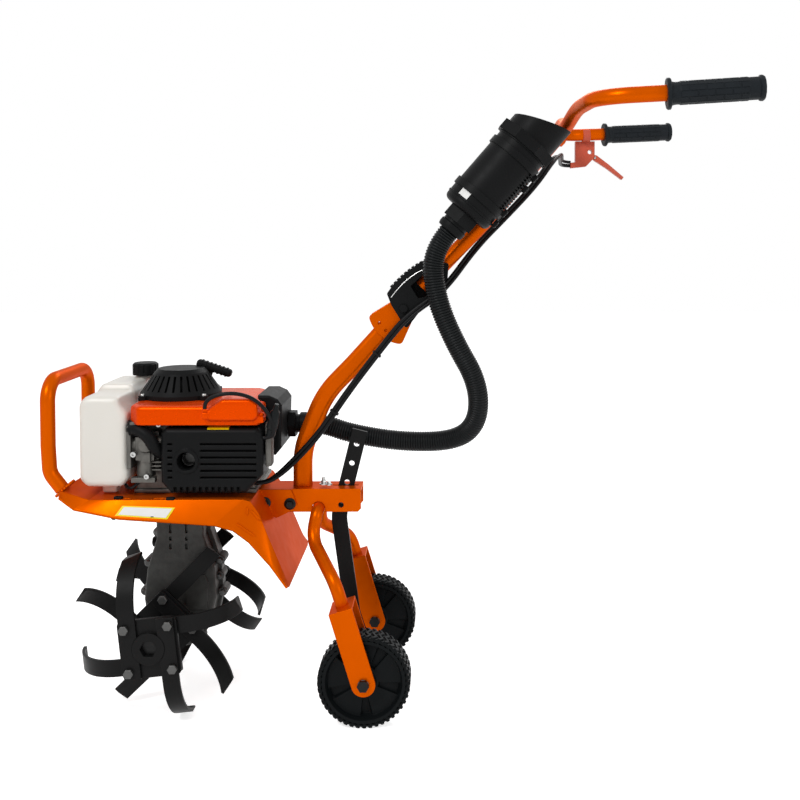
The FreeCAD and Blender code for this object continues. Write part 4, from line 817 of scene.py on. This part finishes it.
def plug_and_lead_hardware():
    """The cylinder's bright edge, the plug's boot and the lead's clips."""
    edge = bmesh.new()
    slab(edge, mm(-178, -90, 384), mm(-168, -66, 452), 3)
    finish("cylinder_edge", edge, "bare_metal", "chassis")

    boot = bmesh.new()
    lathe(boot, mm(-160, -101, 470), (-0.25, 0.25, -1), [
        (3.2, -14), (4.4, -4), (7.5, 0), (8.5, 12), (8.5, 26), (7, 28), (7, 40)], 20)
    finish("plug_boot", boot, "hose_rubber", "chassis")

    clips = bmesh.new()
    for spot in (mm(-264, -110, 473.5), mm(-182, -98, 465.5)):
        lathe(clips, spot, (0, 0, 1), [(5.2, 0), (5.2, 3), (4, 4)], 16)
    finish("lead_clips", clips, "orange_shroud", "chassis")


def starter_grip_ridges():
    """Seven ridges round the starter's grip."""
    made = bmesh.new()
    middle, slope = mm(-281, 24, 521), math.radians(19)
    along = Vector((math.cos(slope), 0, -math.sin(slope)))
    for n in range(-3, 4):
        spot = middle + along * (n * 7 - 1.2) * MM
        lathe(made, spot, along, [(7.8, 0), (8.4, 1.2), (7.8, 2.4)], 20)
    finish("starter_grip_ridges", made, "black_plastic", "chassis")


# ------------------------------------------------------------------ column, knuckle and filter

PIVOT = mm(32, 0, 622)
KNUCKLE_HALF = 22


def knuckle_details():
    """Ridges on the knuckle's back, its bright edges, the web in its window and a nut."""
    ridges = bmesh.new()
    spine = [mm(x, 0, z) for x, z in (
        (9, 655), (24, 671), (42, 686), (60, 697.5), (76, 701), (92, 698))]
    path, _ = spline_path(spine, 26)
    for n in range(1, 25, 2):
        ahead = (path[n + 1] - path[n - 1]).normalized()
        out = Vector((-ahead.z, 0, ahead.x))
        rings = []
        for y in (-21, 21):
            ring = []
            for along, up in ((-1.7, -4), (-1.7, 0.9), (1.7, 0.9), (1.7, -4)):
                reach = y if up < 0 else y * 0.9
                ring.append(path[n] + (ahead * along + out * up + Y_WAY * reach) * MM)
            rings.append(ring)
        bridge(ridges, rings, lids=True)
    finish("knuckle_ridges", ridges, "black_plastic", "handlebar")

    trim = bmesh.new()
    for sign in (-1, 1):
        route = [mm(x, (KNUCKLE_HALF + 0.4) * sign, z) for x, z in (
            (12, 640), (25, 657), (42, 672), (62, 685), (82, 688))]
        sweep(trim, spline_path(route, 24)[0], lambda i: 0.75, 8)
    finish("knuckle_trim", trim, "steel", "handlebar")

    web = bmesh.new()
    corners = ((38, 646), (39, 662), (58, 681), (88, 680), (93, 664), (72, 640), (56, 632))
    bridge(web, [[mm(x, y, z) for x, z in corners] for y in (15, 19)], lids=True)
    finish("knuckle_web", web, "black_plastic", "handlebar")

    nut = bmesh.new()
    bolt(nut, PIVOT - Y_WAY * KNUCKLE_HALF * MM, (0, -1, 0), 13, 5, washer=False)
    finish("pivot_nut", nut, "black_plastic", "handlebar")


MAST_FOOT, MAST_TOP = mm(165, 0, 764), mm(290, 0, 908)
MAST_WAY = (MAST_TOP - MAST_FOOT).normalized()
FILTER = mm(173, -50, 824)
FILTER_OUT = Vector((MAST_WAY.z, 0, -MAST_WAY.x))     # towards its lower right
FILTER_RADIUS, FILTER_LENGTH = 42.5, 135
NECK = FILTER - MAST_WAY * (FILTER_LENGTH / 2 + 36) * MM      # where the hose starts


def on_filter(turn, height, radius=FILTER_RADIUS):
    """A point on the can: turn in degrees from its lower right towards the left face."""
    angle = math.radians(turn)
    out = FILTER_OUT * math.cos(angle) - Y_WAY * math.sin(angle)
    return FILTER + (MAST_WAY * height + out * radius) * MM


def filter_details():
    """Ribs towards the mast, bands, buckles, a blank label and the hose's upper collar."""
    ribs = bmesh.new()
    for n in range(16):
        height = -38 + n * 5.2
        outline = ((42.3, 0), (45.4, 0), (45.4, 2.6), (42.3, 2.6), (42.3, 0))
        bridge_rows(ribs, [[on_filter(turn, height + up, radius) for turn in range(-28, 34, 6)]
                           for radius, up in outline])
    finish("filter_ribs", ribs, "black_plastic", "handlebar")

    bands = bmesh.new()
    half = FILTER_LENGTH / 2
    for height in (-half + 12, half - 3):
        lathe(bands, FILTER + MAST_WAY * height * MM, MAST_WAY, [
            (42.5, 0), (43.7, 0.5), (43.7, 3.5), (42.5, 4)], 64)
    finish("filter_bands", bands, "black_plastic", "handlebar")

    buckles = bmesh.new()
    for height in (half - 24, half - 46, -half + 40, -half + 18):
        spot = on_filter(8, height, FILTER_RADIUS + 1.5)
        out = spot - (FILTER + MAST_WAY * height * MM)
        lathe(buckles, spot, out, [(6.5, 0), (6.5, 5), (5, 6.5), (3, 6.5), (3, 4)], 18)
    finish("filter_buckles", buckles, "black_plastic", "handlebar")

    label = bmesh.new()
    bridge_rows(label, [[on_filter(turn, height - half, FILTER_RADIUS + 0.35)
                         for turn in range(106, 131, 4)] for height in (16, 22, 28, 33)])
    finish("filter_label", label, "white_film", "handlebar")

    collar = bmesh.new()
    lathe(collar, NECK - MAST_WAY * 2 * MM, MAST_WAY, [
        (17.2, 0), (21.5, 1), (22.8, 6), (22.8, 12), (21.2, 13.5)], 40)
    finish("hose_collar_top", collar, "black_plastic", "handlebar")


def clamp_hardware():
    """The screws of the filter's two clamps, behind the mast."""
    made = bmesh.new()
    for part in (-0.3, 0.32):
        spot = FILTER + MAST_WAY * (FILTER_LENGTH * part + 6) * MM
        mast_spot = MAST_FOOT + MAST_WAY * (spot - MAST_FOOT).dot(MAST_WAY)
        reach = (mast_spot - spot).normalized()
        bolt(made, mast_spot + reach * 15.5 * MM, reach, 8, 5)
    finish("clamp_screws", made, "steel", "handlebar")


# ------------------------------------------------------------------ handlebar

BAR_CORNER, BAR_TIP = (303, 251, 923), (518, 271, 934)     # of the right half
GRIP_LENGTH, GRIP_ON_BAR = 127, 124
FIRST_PAD, LAST_PAD, PAD_STEP = 17, 107, 11.25
PADS_ROUND, PAD_HEIGHT = 12, 0.75


def bar_end(sign):
    """The bend and the tip of one half of the bar, and the way from one to the other."""
    (x0, y0, z0), (x1, y1, z1) = BAR_CORNER, BAR_TIP
    corner, tip = mm(x0, y0 * sign, z0), mm(x1, y1 * sign, z1)
    return corner, tip, (tip - corner).normalized()


def grip(side, sign):
    """A rubber sleeve with rows of raised pads, a flange and a rounded end."""
    _, tip, axis = bar_end(sign)
    start = tip - axis * GRIP_ON_BAR * MM
    side_way, up = square_to(axis)
    rows = [(11.2, 0), (20.5, 0), (21.5, 1), (21.5, 4.5), (20.3, 5.6), (16.4, 6.4), (15.4, 10),
            (15.2, 14)]
    for n in range(round((LAST_PAD - FIRST_PAD) / PAD_STEP) + 1):
        rows += [(15.4, FIRST_PAD + n * PAD_STEP + dx) for dx in (-1.1, -0.6, 0.6, 1.1)]
    rows += [(15.4, GRIP_LENGTH - 6), (17.3, GRIP_LENGTH - 5), (17.6, GRIP_LENGTH - 1.5),
             (15.8, GRIP_LENGTH + 1.2), (9, GRIP_LENGTH + 2.4), (0.4, GRIP_LENGTH + 2.6)]
    rings = []
    for radius, x in rows:
        nearest = round((x - FIRST_PAD) / PAD_STEP)
        gap = abs(x - FIRST_PAD - nearest * PAD_STEP) < 0.7
        ring = []
        for n in range(PADS_ROUND):
            padded = FIRST_PAD < x < LAST_PAD and not (gap and nearest % 2 == n % 2)
            for phase, high in ((0.0, 0), (0.07, 1), (0.86, 1), (0.93, 0)):
                angle = 2 * math.pi * (n + phase) / PADS_ROUND
                reach = radius + (PAD_HEIGHT if padded and high else 0)
                out = side_way * math.cos(angle) + up * math.sin(angle)
                ring.append(start + (axis * x + out * reach) * MM)
        rings.append(ring)
    made = bmesh.new()
    loops = bridge(made, rings)
    made.faces.new(loops[-1])
    piece = finish("ribbed_grip_" + side, made, "grip_rubber", "handlebar", sharp=40)
    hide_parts("grip_" + side)


def bar_hardware():
    """The socket under the bar's middle, and the throttle's strap, blade, seat and screw."""
    socket = bmesh.new()
    lathe(socket, MAST_TOP - MAST_WAY * 24 * MM, MAST_WAY, [
        (12.8, 0), (14.2, 1), (14.6, 9), (13.5, 12.5)], 32)
    finish("bar_socket", socket, "orange_paint", "handlebar")

    strap = bmesh.new()
    corner, _, along = bar_end(1)
    lathe(strap, corner + along * 52 * MM, along, [
        (11.2, 0), (12.2, 0.6), (12.2, 13.4), (11.2, 14)], 28)
    finish("throttle_strap", strap, "red_plastic", "handlebar")

    blade = bmesh.new()
    outline = ((378, 891), (384, 890), (405, 874), (435, 849), (431, 844), (402, 866),
               (380, 880), (375, 884))
    bridge(blade, [[mm(x, y, z) for x, z in outline] for y in (265, 277)], lids=True)
    soften_edges(blade, list(blade.edges), 1.2)
    piece = finish("lever_blade", blade, "red_plastic", "handlebar")
    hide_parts("throttle_lever")

    saddle = bmesh.new()
    slab(saddle, mm(343.8, 264, 904), mm(379, 276, 915), 0.8)
    finish("throttle_saddle", saddle, "red_plastic", "handlebar")

    screw = bmesh.new()
    socket_bolt(screw, mm(380, 265, 885.5), (0, -1, 0), 2.4, 2)
    finish("lever_screw", screw, "steel", "handlebar")


# ------------------------------------------------------------------ cords

HOSE_END = mm(-140.9, 33, 428)
HOSE = [NECK, NECK - MAST_WAY * 45 * MM, mm(84, -50, 640), mm(112, -46, 572),
        mm(150, -30, 505), mm(152, -12, 440), mm(118, 12, 403), mm(30, 29, 397),
        mm(-60, 33, 411), mm(-104.9, 33, 428), HOSE_END]
HOSE_PITCH = 4.2
HOSE_WAVE = (16.5, 16.1, 14.9, 15.9)         # its radius over one pitch
CABLE = [mm(*p) for p in (
    (-201, -53, 350), (-184, -53, 350), (-168, -46, 360), (-148, -38, 378), (-104, -30, 424),
    (-60, -28, 490), (-2, -28, 566), (36, -29, 612), (92, -27, 650), (146, 18, 722),
    (196, 26, 772), (244, 28, 824), (276, 70, 868), (300, 150, 879), (310, 225, 876),
    (316, 271, 871), (334.3, 271, 871))]
STOP_WIRE = [mm(*p) for p in (
    (-201, -60, 352), (-184, -60, 351), (-166, -53, 358), (-144, -42, 374.6),
    (-99.8, -31, 420.6), (-55.8, -29, 486.6), (2.2, -29, 562.6), (40.2, -30, 608.6),
    (96.2, -28, 646.6), (150.2, 16, 718.6), (200.2, 25, 768.6), (248.2, 28, 819.6),
    (281, 68, 864), (304, 148, 884), (313, 222, 881), (319, 266, 878), (334.3, 266, 877))]
BESIDE_CABLE = mm(4.2, 0, -3.4)              # from the cable to the wire tied beside it
LEAD = [mm(*p) for p in (
    (-264, -110, 473.3), (-265, -113, 484), (-255, -115, 495), (-236, -115, 501),
    (-212, -114, 501), (-188, -112, 492), (-170, -109, 472), (-161, -103, 448),
    (-165, -96, 430), (-179.9, -94, 430))]


def air_hose():
    """A corrugated hose from the filter's neck down to the intake, with its lower collar."""
    steps_each = len(HOSE_WAVE)
    _, length = spline_path(HOSE, 10)
    path, length = spline_path(HOSE, int(length / MM / HOSE_PITCH) * steps_each)
    made = bmesh.new()
    sweep(made, path, lambda i: HOSE_WAVE[i % steps_each], 28)
    piece = finish("corrugated_hose", made, "hose_rubber", None, sharp=80)
    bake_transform(piece)
    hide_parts("air_hose")
    collar = bmesh.new()
    lathe(collar, HOSE_END + mm(1, 0, 0), (1, 0, 0), [
        (17.2, -2), (18.5, -1), (18.5, 8), (17, 9)], 40)
    finish("hose_collar_low", collar, "black_plastic", "chassis")


def sheathed(name, route, steps, diameter, body=None):
    """A smooth round cord along its route."""
    path, length = spline_path(route, steps)
    made = bmesh.new()
    sweep(made, path, lambda i: diameter / 2, 12)
    return finish(name, made, "cable_sheath", body, sharp=60), path, length


def throttle_cable():
    """From the carburettor's side up the column, behind the mast and along the bar."""
    piece, path, length = sheathed("throttle_sheath", CABLE, 240, 7)
    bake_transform(piece)
    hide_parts("throttle_cable")
    column_ties(path)


def column_ties(path):
    """Ties that hold the throttle cable and the stop wire to the column."""
    made = bmesh.new()
    for place in (mm(-97, 0, 470), mm(-22, 0, 560)):
        near = min(path, key=lambda spot: (spot - place).length)
        i = path.index(near)
        along = (path[i + 1] - path[i]).normalized()
        lathe(made, near + BESIDE_CABLE / 2 - along * 2 * MM, along, [
            (7.02, 0), (7.8, 0.5), (7.8, 3.5), (7.02, 4)], 20)
    finish("cable_ties", made, "cable_sheath", "chassis")


def stop_wire():
    """The wire of the stop switch, tied beside the throttle cable."""
    piece, path, length = sheathed("stop_wire", STOP_WIRE, 240, 5.8)
    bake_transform(piece)


def spark_lead():
    """The spark plug's lead, from a clip on the shroud to the plug's boot."""
    piece, path, length = sheathed("plug_lead", LEAD, 90, 6, "chassis")
    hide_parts("spark_lead")


# ------------------------------------------------------------------ everything

make_camera()
make_world()
for lamp in LAMPS:
    area_light(*lamp)
make_floor()
dress_nodes()
rounded("blown_tank", "fuel_tank", "chassis", 2.5, 16)
rounded("moulded_shroud", "engine_shroud", "chassis", 1.6, 12)
air_hose()
throttle_cable()
stop_wire()
spark_lead()
for side, sign in (("left", -1), ("right", 1)):
    wheel(side, sign)
    grip(side, sign)
axle_hardware()
rotor_hardware()
rotor_welds()
gearbox_hardware()
deck_hardware()
deck_forming()
deck_label()
engine_hardware()
carburettor_details()
crankcase()
engine_stickers()
plug_and_lead_hardware()
starter_grip_ridges()
knuckle_details()
filter_details()
clamp_hardware()
bar_hardware()
